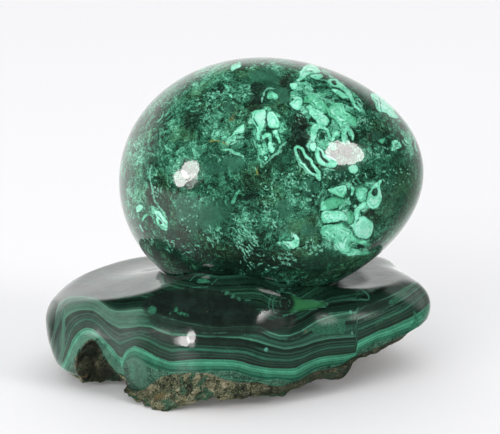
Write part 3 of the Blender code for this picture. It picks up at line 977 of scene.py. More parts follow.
BROWN_CLOUDS = {
    "left vein stain": (149, 195, 4, 14, 0, 0.9),
    "left foot stain": (151, 220, 5, 8, 0, 0.9),
    "shadow at the top": (288, 74, 8, 10, 0, 0.8),
    "spot above the bead": (284, 83, 6, 5, 0, 0.8),
    "brown band": (303, 130, 10, 18, 8, 0.8),
    "dark slab foot": (256, 104, 6, 8, 0, 0.8),
    "upper right stain": (374, 138, 8, 8, 0, 0.8),
    "lower left stain": (183, 233, 8, 8, 0, 0.7),
    "under the crescent": (290, 252, 14, 4, 0, 0.4),
    "by the dark wedge": (366, 213, 8, 4, 0, 0.8),
    "between bar and snake": (352, 201, 6, 5, 0, 0.8),
    "right dark field": (392, 212, 14, 30, -20, 0.35),
    "pool by the wavy lines": (312, 89, 10, 5, 0, 0.7),
    "belt over the left glint": (184, 190, 12, 5, 0, 0.5),
    "middle stain": (283, 228, 12, 5, 0, 0.4),
}

CALM_CLOUDS = {
    "left smoky stone": (214, 214, 17, 12, -10, 1.0),
    "right dark field": (402, 195, 24, 44, 0, 0.75),
    "smooth green top": (262, 78, 24, 10, 0, 0.5),
    "hook field": (275, 92, 14, 12, 0, 0.6),
    "dark middle": (280, 162, 12, 12, 0, 0.7),
    "lower smooth field": (300, 224, 22, 12, 0, 0.7),
    "right foot": (325, 258, 40, 10, 0, 0.8),
    "dark slab": (256, 95, 10, 14, 0, 0.8),
    "upper right rim": (352, 90, 24, 9, 35, 0.7),
    "quiet belt right of the left glint": (222, 160, 32, 18, 0, 0.55),
    "quiet lower left": (180, 235, 22, 16, 20, 0.4),
    "quiet field under the disc": (345, 172, 20, 12, 0, 0.5),
    "quiet left flank": (186, 132, 20, 12, -30, 0.35),
}

# Strokes strewn over the egg in patches of the drawing. Each patch gives its middle, half sizes
# and turn in degrees, how many strokes it has, their length, heading and its spread in degrees,
# and their width. The patches' seeds count up from the first.
FIRST_STROKE_SEED = 1
STROKE_PATCHES = (
    ((247, 241), (13, 13), 0, 46, 8.0, 58, 10, 0.9),
    ((243, 222), (14, 12), 0, 34, 4.0, 20, 40, 0.9),
    ((264, 262), (24, 9), 0, 30, 4.0, 50, 40, 0.8),
    ((269, 205), (8, 24), -8, 36, 1.6, 60, 50, 1.5),
    ((268, 180), (10, 10), 0, 14, 1.6, 60, 50, 1.3),
    ((300, 192), (17, 12), 0, 26, 2.0, 30, 60, 1.4),
    ((287, 258), (9, 7), 0, 16, 4.5, 35, 20, 1.1),
    ((317, 247), (14, 8), 0, 30, 2.6, 30, 60, 1.7),
    ((213, 236), (10, 9), 0, 20, 6.0, 65, 12, 0.8),
    ((396, 176), (18, 9), 0, 24, 1.4, 60, 60, 1.2),
    ((364, 122), (8, 5), 0, 14, 3.0, -20, 30, 1.2),
    ((380, 152), (9, 6), 0, 14, 3.0, 60, 40, 0.9),
    ((299, 117), (8, 7), 0, 16, 2.6, 70, 50, 0.9),
    ((212, 128), (7, 9), 0, 26, 1.8, 80, 40, 0.9),
    ((214, 108), (13, 9), 0, 30, 1.6, 0, 90, 0.8),
    ((207, 98), (14, 5), -25, 14, 2.6, -25, 30, 1.5),
    ((222, 157), (12, 5), 0, 14, 3.0, 0, 30, 0.9),
    ((156, 186), (6, 14), 0, 22, 3.4, 70, 30, 1.0),
    ((188, 215), (10, 18), 0, 34, 2.0, 80, 60, 1.0),
    ((183, 248), (22, 9), 15, 26, 4.0, 60, 40, 0.8),
    ((150, 238), (8, 8), 45, 10, 4.0, 60, 15, 1.0),
    ((271, 146), (12, 12), 0, 12, 2.2, 60, 40, 1.2),
    ((240, 92), (14, 9), 0, 20, 2.4, 20, 70, 1.1),
    ((262, 66), (22, 4), 0, 14, 3.4, 0, 20, 1.2),
    ((140, 152), (7, 12), 0, 22, 2.6, 70, 40, 1.1),
    ((132, 200), (6, 20), 0, 20, 3.0, 80, 30, 0.9),
    ((349, 178), (22, 7), 0, 30, 1.6, 30, 60, 1.1),
    ((252, 162), (10, 10), 0, 12, 2.4, 60, 40, 0.9),
    ((290, 178), (12, 6), 0, 16, 3.0, 60, 40, 1.2),
    ((330, 175), (8, 5), 0, 10, 2.0, 20, 40, 1.3),
)

# Small dark pits and granules, strewn in the same way.
FIRST_CRUMB_SEED = 41
CRUMB_PATCHES = (
    ((192, 118), (15, 9), -35, 70, 1.8, 0, 90, 1.6),
    ((220, 90), (16, 9), 0, 22, 2.0, 0, 60, 1.6),
    ((256, 190), (12, 18), 0, 40, 2.0, 60, 60, 1.5),
    ((230, 102), (14, 12), 0, 26, 2.0, 0, 90, 1.5),
    ((300, 118), (10, 8), 0, 20, 2.2, 40, 60, 1.4),
    ((165, 192), (8, 14), 0, 26, 2.4, 80, 40, 1.6),
    ((345, 181), (20, 5), 0, 20, 3.0, 10, 40, 1.6),
    ((355, 134), (14, 8), 0, 20, 2.4, 30, 60, 1.4),
    ((314, 202), (7, 9), 0, 12, 2.0, 0, 60, 1.6),
    ((316, 247), (14, 8), 0, 16, 2.2, 0, 90, 1.5),
    ((206, 158), (16, 6), 0, 16, 2.6, -10, 40, 1.3),
    ((155, 226), (8, 8), 0, 14, 2.0, 0, 90, 1.6),
    ((205, 118), (10, 14), 0, 36, 1.6, 0, 90, 1.1),
)
STREWN_LENGTHS = (0.3, 1.0)
STREWN_WIDTHS = (0.6, 1.2)
STREWN_BEND = 0.25

# How far from a mark its field reaches, and how its outline is softened.
FIELD_REACH = 5.0
CORNER_CUT = 0.22
PATH_CUT = 0.25
STROKE_THINNING = 0.35

# How outlines are pushed about: a seed, the shortest and the longest wave, and the reach.
WAVE_COUNT = 12
MARK_WANDER = (3, 3.5, 16.0, 0.9)
DARK_WANDER = (4, 5.0, 20.0, 2.5)
SOFT_WANDER = (5, 5.0, 24.0, 2.5)
BED_WANDER = (6, 5.0, 20.0, 2.5)
STAND_WANDER = (7, 5.0, 18.0, 0.6)

# Hidden sides of the egg carry the same kinds of marks: the drawing seen from another side,
# turned in its plane. Each is azimuth, elevation, turn and the drawing's place at its middle.
HIDDEN_DRAWINGS = (
    (180.0, 10.0, 155.0, (300.0, 150.0)),
    (100.0, 40.0, -70.0, (330.0, 190.0)),
    (-110.0, 20.0, 60.0, (280.0, 140.0)),
    (20.0, -60.0, 110.0, (330.0, 215.0)),
)
FRONT_FACING = (0.06, 0.16)


def scatter(seed, middle, reach, turn, count, length, heading, spread, width):
    """Short strokes strewn over a turned ellipse of the drawing, as (width, point, point, point)."""
    draw = np.random.default_rng(seed)
    strokes = []
    turn_cos, turn_sin = math.cos(math.radians(turn)), math.sin(math.radians(turn))
    while len(strokes) < count:
        u, v = draw.uniform(-1.0, 1.0, 2)
        if u * u + v * v > 1.0:
            continue
        x = middle[0] + reach[0] * u * turn_cos - reach[1] * v * turn_sin
        y = middle[1] + reach[0] * u * turn_sin + reach[1] * v * turn_cos
        angle = math.radians(heading + draw.normal(0.0, spread))
        half = length * draw.uniform(*STREWN_LENGTHS) / 2
        step = (half * math.cos(angle), half * math.sin(angle))
        bend = draw.uniform(-STREWN_BEND, STREWN_BEND) * half
        centre = (x - bend * math.sin(angle), y + bend * math.cos(angle))
        thick = width * draw.uniform(*STREWN_WIDTHS)
        strokes.append((thick, (x - step[0], y - step[1]), centre, (x + step[0], y + step[1])))
    return strokes


def strewn(patches, first_seed):
    """The strokes of all patches of a list."""
    seeded = enumerate(patches, first_seed)
    return [stroke for seed, patch in seeded for stroke in scatter(seed, *patch)]


def rounded(outline, rounds=2):
    """A closed outline with its corners cut again and again, which leaves it smooth."""
    points = np.array(outline, float)
    for _ in range(rounds):
        after = np.roll(points, -1, axis=0)
        starts = (1.0 - CORNER_CUT) * points + CORNER_CUT * after
        ends = CORNER_CUT * points + (1.0 - CORNER_CUT) * after
        points = np.stack((starts, ends), axis=1).reshape(-1, 2)
    return points


def eased(path, rounds=2):
    """An open path with its corners cut again and again; its ends stay."""
    points = np.array(path, float)
    for _ in range(rounds):
        starts = points[:-1] * (1.0 - PATH_CUT) + points[1:] * PATH_CUT
        ends = points[:-1] * PATH_CUT + points[1:] * (1.0 - PATH_CUT)
        between = np.stack((starts, ends), axis=1).reshape(-1, 2)
        points = np.concatenate((points[:1], between, points[-1:]))
    return points


def segment_distances(places, starts, ends):
    """Distance from each place to each segment."""
    along = ends - starts
    offset = places[:, None, :] - starts[None, :, :]
    length_squared = np.maximum((along * along).sum(axis=1), TINY)
    share = np.clip((offset * along).sum(axis=2) / length_squared, 0.0, 1.0)
    return np.linalg.norm(offset - share[..., None] * along, axis=2)


def near(places, points):
    """Indices of the places that a mark's field can reach."""
    low, high = points.min(axis=0) - FIELD_REACH, points.max(axis=0) + FIELD_REACH
    return np.nonzero(((places > low) & (places < high)).all(axis=1))[0]


def inside_outline(places, starts, ends):
    """Whether each place is inside an outline, by the sides that a line to its right crosses."""
    x, y = places[:, :1], places[:, 1:]
    rise = ends[:, 1] - starts[:, 1]
    slope = (ends[:, 0] - starts[:, 0]) / np.where(rise == 0.0, TINY, rise)
    passes = (starts[:, 1] > y) != (ends[:, 1] > y)
    crossing = starts[:, 0] + (y - starts[:, 1]) * slope
    return (passes & (x < crossing)).sum(axis=1) % 2 == 1


def shape_field(places, shapes):
    """How deep each place lies inside the nearest shape; negative outside."""
    field = np.full(len(places), -FIELD_REACH)
    for outline in shapes:
        starts = rounded(outline)
        close = near(places, starts)
        if not len(close):
            continue
        ends = np.roll(starts, -1, axis=0)
        distance = segment_distances(places[close], starts, ends).min(axis=1)
        inside = inside_outline(places[close], starts, ends)
        field[close] = np.maximum(field[close], np.where(inside, distance, -distance))
    return field


def stroke_field(places, strokes):
    """Half of a stroke's width less the distance to it; strokes thin out to their ends."""
    field = np.full(len(places), -FIELD_REACH)
    for width, *path in strokes:
        points = eased(path)
        close = near(places, points)
        if not len(close):
            continue
        distances = segment_distances(places[close], points[:-1], points[1:])
        place_on_path = distances.argmin(axis=1)
        middle = (len(points) - 2) / 2
        end_share = np.abs(place_on_path - middle) / max(1.0, middle + 0.5)
        half_width = width / 2 * (1.0 - STROKE_THINNING * end_share**2)
        field[close] = np.maximum(field[close], half_width - distances.min(axis=1))
    return field


def wander(places, seed, shortest, longest, reach):
    """Places pushed about a little by waves in many directions, so that no outline is smooth."""
    draw = np.random.default_rng(seed)
    result = places.copy()
    for _ in range(WAVE_COUNT):
        length = draw.uniform(shortest, longest)
        heading = draw.uniform(0.0, 2.0 * math.pi)
        phase = draw.uniform(0.0, 2.0 * math.pi)
        wave = np.array((math.cos(heading), math.sin(heading))) * 2.0 * math.pi / length
        push_heading = draw.uniform(0.0, 2.0 * math.pi)
        push = np.array((math.cos(push_heading), math.sin(push_heading)))
        size = reach * math.sqrt(2.0 / WAVE_COUNT) * length / longest
        result += np.sin(places @ wave + phase)[:, None] * push * size
    return result


def cloud_field(places, clouds):
    """Sum of soft turned ellipses."""
    field = np.zeros(len(places))
    for x, y, reach_x, reach_y, turn, amount in clouds.values():
        angle = math.radians(turn)
        offset = places - (x, y)
        u = (offset[:, 0] * math.cos(angle) + offset[:, 1] * math.sin(angle)) / reach_x
        v = (offset[:, 1] * math.cos(angle) - offset[:, 0] * math.sin(angle)) / reach_y
        field += amount * np.exp(-((u * u + v * v) ** 1.5))
    return field


def egg_fields(places):
    """Every marking's field at places of the drawing."""
    loose = wander(places, *MARK_WANDER)
    pale = shape_field(loose, PALE_SHAPES.values())
    holes = shape_field(loose, PALE_HOLES.values())
    dark = shape_field(wander(places, *DARK_WANDER), DARK_SHAPES.values())
    crumbs = stroke_field(places, strewn(CRUMB_PATCHES, FIRST_CRUMB_SEED))
    threads = (*PALE_LINES.values(), *strewn(STROKE_PATCHES, FIRST_STROKE_SEED))
    lines = stroke_field(loose, DARK_LINES.values())
    return {
        "pale": np.minimum(pale, -holes),
        "mid": shape_field(loose, MID_SHAPES.values()),
        "bed": shape_field(wander(places, *BED_WANDER), BED_SHAPES.values()),
        "soft": shape_field(wander(places, *SOFT_WANDER), SOFT_SHAPES.values()),
        "dark": np.maximum(dark, crumbs),
        "thread": stroke_field(loose, threads),
        "crack": np.maximum(lines, np.minimum(holes, pale + 1.0)),
        "gold": stroke_field(loose, GOLD_SPECKS.values()),
        "orange": stroke_field(loose, ORANGE_SPOTS.values()),
        # The stone's own tone, with painted shade along the bottom and painted sheen on the rims.
        "light": cloud_field(places, TONE_AND_PAINTED_LIGHT_CLOUDS),
        "brown": cloud_field(places, BROWN_CLOUDS),
        "calm": cloud_field(places, CALM_CLOUDS),
    }


def direction_of(azimuth, elevation):
    """A direction from the object: azimuth is degrees right of the camera's side."""
    a = math.radians(azimuth)
    e = math.radians(elevation)
    return Vector((math.sin(a) * math.cos(e), -math.cos(a) * math.cos(e), math.sin(e)))


def side_view(points, azimuth, elevation, turn, middle):
    """Where points fall in the drawing held against another side, and the way to that side."""
    towards = np.array(direction_of(azimuth, elevation))
    across = np.cross((0.0, 0.0, 1.0), towards)
    across /= np.linalg.norm(across)
    upwards = np.cross(towards, across)
    from_egg = points - EGG_CENTRE
    flat = np.column_stack((from_egg @ across, -(from_egg @ upwards))) * DRAWING_SCALE
    angle = math.radians(turn)
    spin = np.array(((math.cos(angle), math.sin(angle)), (-math.sin(angle), math.cos(angle))))
    return flat @ spin + middle, towards


def all_egg_fields(points):
    """The markings' fields on the whole egg: the front drawing, and others on hidden sides."""
    normals = egg_normals(points)
    fields = egg_fields(front_view(points))
    hidden = 1.0 - smooth_step(*FRONT_FACING, normals @ TOWARDS_CAMERA)
    best = np.full(len(points), -1.0)
    others = {name: np.full(len(points), -FIELD_REACH) for name in fields}
    for azimuth, elevation, turn, middle in HIDDEN_DRAWINGS:
        places, towards = side_view(points, azimuth, elevation, turn, middle)
        squareness = normals @ towards
        chosen = (squareness > best) & (hidden > 0.0)
        best = np.where(chosen, squareness, best)
        for name, field in egg_fields(places[chosen]).items():
            others[name][chosen] = field
    for name, field in fields.items():
        fields[name] = field * (1.0 - hidden) + others[name] * hidden
    return fields


def refine_egg(mesh, reach):
    """Split the egg's faces near the edge of any marking in four, fewer on its hidden sides."""
    bm = bmesh.new()
    bm.from_mesh(mesh)
    centres = np.array([face.calc_center_median() for face in bm.faces]) / MM
    fields = all_egg_fields(centres)
    seen = egg_normals(centres) @ TOWARDS_CAMERA > 0.0
    reaches = reach * np.where(seen, 1.0, HIDDEN_SPLIT_SHARE)
    near_edge = np.any([np.abs(fields[name]) < reaches for name in SHARP_MARKS], axis=0)
    bm.faces.ensure_lookup_table()
    chosen = {edge for index in np.nonzero(near_edge)[0] for edge in bm.faces[index].edges}
    bmesh.ops.subdivide_edges(bm, edges=list(chosen), cuts=1, use_grid_fill=True)
    bm.to_mesh(mesh)
    bm.free()
    set_mesh_points(mesh, egg_place(*egg_coordinates(mesh_points(mesh))))


# Layers of the stand, as curves in the front drawing. Each gives its number in the pile of
# layers, counted upwards, and its places left and right of the fault.

FAULT_X = 357.0
LAYERS = {
    "lowest pale line": (
        1.0,
        (
            (60, 400), (70, 368), (75, 354), (79, 345.6), (84.4, 340), (90, 338.3), (94.4, 340.6),
            (99, 347.8), (102, 352), (110, 357.8), (117.8, 367.8), (122, 375), (124.4, 368), (126, 362),
            (131, 359.4), (138, 361), (147, 365.6), (156, 370), (170, 372.8), (188, 374), (205.6, 372.2),
            (212, 370.6), (219, 371.7), (233, 371), (242, 374), (250, 376.7), (259, 379.4), (268, 380.6),
            (276, 379), (283, 380), (290, 381.2), (293.5, 382), (300, 379.4), (310, 372.8), (320, 367.8),
            (331, 366), (338, 365), (345, 362.8), (352, 360), (357, 357),
        ),
        ((357, 352), (366, 347), (375, 342.5), (390, 338), (405, 334), (418, 330), (432, 322)),
    ),
    "foot of the green layer": (
        2.0,
        (
            (60, 380), (68, 364), (71.7, 357), (74.4, 352), (79, 343.3), (84.4, 336.7), (89, 335.4),
            (95.6, 339), (102, 347.8), (111, 356.7), (120, 367), (122.5, 371), (124, 361), (128, 355.6),
            (134.4, 352.2), (143, 355.6), (158, 362.2), (170, 367), (188, 367.8), (210, 367.6),
            (221, 367.2), (239, 368.9), (250, 372.2), (261, 374.4), (272, 375.6), (293, 376.7),
            (299, 375), (307, 370.6), (316, 365.6), (327, 362.8), (338, 361.7), (346, 360.6), (357, 356),
        ),
        (
            (357, 350.5), (366, 345), (375, 341), (383, 338.5), (390, 336.5), (405, 331), (418, 326),
            (432, 316),
        ),
    ),
    "top of the green layer": (
        3.0,
        (
            (58, 372), (66, 357), (70, 347), (72.2, 340), (76.7, 333.3), (82, 329.4), (86.7, 327.8),
            (93.3, 329), (99, 334.4), (106.7, 342.2), (113.3, 349), (118, 355.6), (122, 358),
            (126.7, 350), (134.4, 346), (143, 349), (156.7, 357), (170, 361.8), (183, 360.6),
            (194, 359.4), (217, 359.4), (233, 360), (242, 361.7), (250, 364.4), (261, 366.7),
            (272, 368.3), (290, 368.6), (296, 367.8), (302, 364.4), (310, 360.6), (319, 357.2),
            (329, 355.6), (338, 355), (345.6, 353.9), (357, 352.5),
        ),
        (
            (357, 341), (370, 335), (380, 330), (388, 327.5), (396, 324), (404, 320), (412, 316.5),
            (422, 310), (432, 300),
        ),
    ),
    "middle green line": (
        4.0,
        (
            (55, 372), (63, 358), (67, 345), (70, 334), (75, 326), (81, 321.5), (87, 320), (94, 321.5),
            (101, 327), (108, 335), (115, 341.5), (120, 344.4), (126.7, 341.7), (134.4, 339),
            (140, 338.3), (149, 341.5), (160, 347.5), (172, 351.7), (181, 350.6), (194, 350),
            (206, 350.6), (217, 351.7), (239, 352.2), (247, 353.3), (256, 356.7), (264, 359.4),
            (276, 360.6), (290, 361), (302, 358.3), (311, 353.9), (320, 350.6), (329, 348.3),
            (340, 347.2), (349, 346.7), (357, 346),
        ),
        ((357, 330), (370, 325), (385, 318.5), (400, 312), (410, 306), (420, 298), (432, 286)),
    ),
    "double pale line": (
        5.0,
        (
            (50, 380), (58, 366), (62, 352), (63.5, 335), (64, 318), (66.7, 314.4), (73.3, 311),
            (80, 309.4), (86.7, 309), (93.3, 310), (100, 314), (106.7, 320), (113.3, 324.4),
            (120, 327.2), (129, 327.2), (140, 325.6), (151, 326), (162, 331), (172, 334), (192, 334.4),
            (206, 336), (217, 336), (239, 337), (248, 338.5), (257, 340.5), (266, 343.3), (275.6, 346),
            (284.4, 348.3), (293, 347.2), (303, 345), (315, 341), (330, 338), (345, 336.5), (357, 336),
        ),
        ((357, 319), (370, 313.5), (385, 307), (400, 300), (410, 294), (420, 286), (432, 272)),
    ),
    "highest pale line": (
        6.0,
        (
            (40, 372), (48, 355), (53, 335), (55, 318), (58, 306), (64, 300.5), (70, 298), (79, 297.2),
            (88, 297.8), (95.6, 300), (102, 304.4), (109, 310), (115.6, 312.2), (124, 312.2), (134, 311),
            (140, 310), (150, 312), (165, 318), (180, 322), (200, 326), (220, 328.5), (237, 327.2),
            (253, 326.7), (262, 328), (270, 333), (280, 336), (290, 336), (302, 331), (316, 322),
            (331, 316), (349, 313), (357, 312),
        ),
        ((357, 309), (370, 305), (385, 299), (400, 292), (415, 283), (432, 268)),
    ),
}
LAYER_BELOW = 12.0
LAYER_ABOVE = 13.0
THINNEST_LAYER = 0.5
FAULT_HALF_WIDTH = 0.8

# Colours by the number of the layer, below and above number 3.9, and of the stone above them all.
TINTS_MEET = 3.9
LOWER_TINTS = (
    (0.0, (0.007, 0.030, 0.019)),
    (0.90, (0.009, 0.044, 0.028)),
    (0.96, (0.070, 0.260, 0.160)),
    (1.04, (0.070, 0.260, 0.160)),
    (1.12, (0.016, 0.095, 0.056)),
    (1.30, (0.022, 0.125, 0.075)),
    (1.45, (0.018, 0.092, 0.057)),
    (1.52, (0.012, 0.055, 0.036)),
    (1.62, (0.024, 0.128, 0.078)),
    (1.96, (0.032, 0.160, 0.098)),
    (2.0, (0.044, 0.215, 0.130)),
    (2.45, (0.060, 0.275, 0.168)),
    (2.80, (0.050, 0.235, 0.143)),
    (2.96, (0.034, 0.170, 0.104)),
    (3.03, (0.014, 0.020, 0.015)),
    (3.28, (0.013, 0.024, 0.018)),
    (3.36, (0.026, 0.095, 0.062)),
    (3.42, (0.013, 0.026, 0.019)),
    (3.60, (0.014, 0.028, 0.020)),
    (3.67, (0.030, 0.105, 0.068)),
    (3.73, (0.014, 0.034, 0.024)),
    (3.9, (0.016, 0.044, 0.030)),
)
UPPER_TINTS = (
    (3.9, (0.016, 0.044, 0.030)),
    (3.96, (0.038, 0.165, 0.102)),
    (4.05, (0.034, 0.150, 0.092)),
    (4.12, (0.013, 0.052, 0.034)),
    (4.26, (0.014, 0.050, 0.034)),
    (4.33, (0.030, 0.110, 0.070)),
    (4.42, (0.012, 0.034, 0.024)),
    (4.58, (0.018, 0.060, 0.040)),
    (4.66, (0.008, 0.022, 0.016)),
    (4.88, (0.006, 0.015, 0.011)),
    (4.95, (0.066, 0.235, 0.150)),
    (5.05, (0.066, 0.235, 0.150)),
    (5.11, (0.012, 0.042, 0.028)),
    (5.28, (0.018, 0.070, 0.046)),
    (5.34, (0.030, 0.116, 0.076)),
    (5.42, (0.022, 0.090, 0.058)),
    (5.58, (0.028, 0.106, 0.070)),
    (5.64, (0.020, 0.080, 0.052)),
    (5.80, (0.030, 0.114, 0.076)),
    (5.88, (0.018, 0.066, 0.043)),
    (5.97, (0.062, 0.215, 0.138)),
    (6.03, (0.062, 0.215, 0.138)),
    (6.12, (0.012, 0.044, 0.028)),
    (6.4, (0.007, 0.026, 0.017)),
)
HIGH_TINTS = (
    (0.0, (0.008, 0.030, 0.018)),
    (0.16, (0.014, 0.058, 0.034)),
    (0.22, (0.030, 0.120, 0.070)),
    (0.27, (0.009, 0.036, 0.022)),
    (0.55, (0.005, 0.018, 0.011)),
    (0.70, (0.016, 0.066, 0.040)),
    (0.76, (0.006, 0.022, 0.014)),
    (1.0, (0.008, 0.030, 0.018)),
)

# Markings of the stand: dark pools, patches and pale shapes.
STAND_POOLS = {
    "lower part of the dark pool": (
        (147, 313), (160, 316), (180, 321), (205, 325), (235, 325), (262, 322), (284, 317), (293, 312),
        (299, 317), (287, 326), (270, 331), (250, 335), (225, 337.5), (198, 336), (176, 332.5),
        (160, 328), (149, 323),
    ),
    "dark pool": (
        (142, 303), (148, 297), (160, 293), (180, 288), (205, 289), (222, 290), (240, 302), (256, 305),
        (258, 313), (270, 318), (262, 326), (240, 326.5), (222, 327.5), (200, 325), (180, 321),
        (168, 318), (156, 316.5), (148, 316), (143, 312),
    ),
    "dark eye": (
        (277, 303), (279, 297), (285, 294.5), (291, 297), (293.6, 302.8), (291, 309), (285, 311.3),
        (279, 308.6),
    ),
    "black wedge": (
        (358, 305), (370, 302.6), (386, 298), (399, 294.6), (398, 302), (388, 308), (372, 312.7),
        (358, 315.5),
    ),
    "dark pool under the double line": (
        (150, 330), (165, 335.6), (190, 338.6), (215, 340), (240, 341), (262, 346), (254, 349.3),
        (236, 347.3), (205, 345.5), (176, 345.6), (160, 342), (148, 336),
    ),
    "dark bay": ((286, 337.6), (296, 334.2), (303, 330), (305, 336), (296, 341), (288, 343.3)),
    "left shade": ((113, 312.6), (124, 314.3), (137, 313.4), (140, 318), (128, 321), (116, 319.7)),
}

STAND_LEAF = {
    "leaf-green wedge": (
        (290, 293), (293, 295), (299, 298), (308, 299), (318, 300), (330, 304), (320, 308), (308, 310),
        (297, 312), (287, 314), (292, 309), (294, 303),
    ),
}

STAND_PATCHES = {
    "green band over the arch": (
        (67, 360), (75, 344), (82, 335.5), (92, 333.5), (100, 341), (110, 353), (119, 364), (125, 372),
        (123, 379), (113, 370), (105, 358), (99, 347), (92, 340), (85, 344), (78, 354), (72, 364),
    ),
    "crumbly patch": (
        (311, 328.3), (313, 326), (320, 323.9), (326.7, 319.4), (332, 318.3), (342, 318.3),
        (345.6, 319.4), (345.6, 327), (345, 333.9), (337.8, 333.9), (333, 333.3), (328.9, 334.4),
        (315.6, 333.9), (312, 330.6),
    ),
    "first facet patch": (
        (421, 313), (428, 305), (431.5, 301), (431.5, 309), (428, 317), (425, 320), (422, 317),
    ),
    "second facet patch": (
        (412, 310), (415.5, 311), (418.3, 315), (418.8, 321), (415.5, 327), (411, 328.6), (409.7, 327),
        (414, 321), (414, 315),
    ),
    "first teal spot": ((148, 308), (152, 305.3), (156.3, 308), (156.5, 312.6), (152, 315), (147.7, 313)),
    "teal crumb": ((169, 312), (171.3, 311.3), (172.4, 313.6), (170, 314.6)),
    "second teal crumb": ((174.6, 307), (177, 306.3), (177.6, 308.8), (175.4, 309.4)),
    "teal wedge": ((173.6, 309), (180, 311.3), (190.6, 315), (189, 317), (180, 315), (173.3, 311.3)),
    "facet eye": ((130.6, 364), (133.4, 363.6), (135, 370), (134.6, 377), (132.4, 381), (130.7, 374)),
    "first eye": (
        (196, 281), (199, 279), (204, 278.4), (208, 279.4), (210, 281.6), (206, 283.2), (199, 283.4),
    ),
    "teal band": (
        (388, 302), (395, 296), (402, 289), (409, 284.6), (411.6, 287.4), (405, 294), (397, 300.6),
        (391, 304.6),
    ),
}

STAND_PALE_SHAPES = {
    "glass-green dot": (
        (263.8, 349.6), (265, 347.3), (267.6, 347.4), (268.6, 349.8), (266.3, 351.7), (264.4, 351.2),
    ),
    "speck beside the fault": ((349, 310.6), (352, 310.3), (352.4, 313), (350, 313.7)),
    "lower speck beside the fault": ((350.6, 331), (353, 331), (353.6, 334.6), (351.4, 335)),
}

# Places of the stand's skin that are broken, dull or glossy, and where its colour carries painted sheen or
# painted light.
STAND_BROKEN = {
    "inside of the arch": (
        (91, 339), (97, 342), (101, 350), (106, 359), (112, 368), (121, 377), (128, 384), (128, 400),
        (60, 400), (60, 360), (74, 360), (79, 353), (84, 344),
    ),
}

STAND_DULL = {
    "below the middle glint": (
        (250, 322), (261, 320), (268, 313), (280, 308), (293, 310), (294, 328), (282, 337), (255, 335),
    ),
    "left of the lower glint": (
        (96, 325), (130, 326), (158, 329), (172, 332), (176, 338), (176, 350), (150, 347), (120, 343),
        (98, 338),
    ),
    "dark plateau by the egg": (
        (325, 271), (345, 266), (358, 266), (368, 274), (372, 281), (364, 287), (345, 291), (325, 290),
    ),
}

STAND_SHOULDER = {
    "left shoulder": (
        (36, 302), (48, 298), (58, 298), (62, 306), (62, 330), (62, 372), (48, 372), (36, 330),
    ),
}

STAND_HALF_DULL = {
    "right plateau": ((345, 266), (360, 266), (378, 268), (392, 276), (400, 284), (384, 289), (350, 291)),
}

# Painted sheen: a pale grey reflection laid on the colour at the stand's right end.
STAND_PAINTED_SHEEN = {
    "haze at the right end": (
        (384, 286), (396, 281), (410, 283), (421, 291), (427, 303), (423, 311), (412, 304), (398, 296),
        (386, 293),
    ),
}

STAND_STREAKS = {
    "light streak on the left top": (
        (58, 295), (84, 286), (112, 275), (140, 264), (152, 261), (156, 265), (132, 273), (104, 284),
        (78, 295),
    ),
    "light streak by the egg": (
        (112, 290), (132, 282), (150, 272), (158, 272), (156, 277), (142, 285), (122, 293),
    ),
}

# Painted light: a lighter green laid on the band over the arch and on the foot, which face down into
# shade.
STAND_PAINTED_LIGHT = {
    "band over the arch": STAND_PATCHES["green band over the arch"],
    "foot": (
        (127, 362), (133, 356), (141, 358), (148, 366), (146, 380), (141, 390), (133, 384), (128, 372),
    ),
}

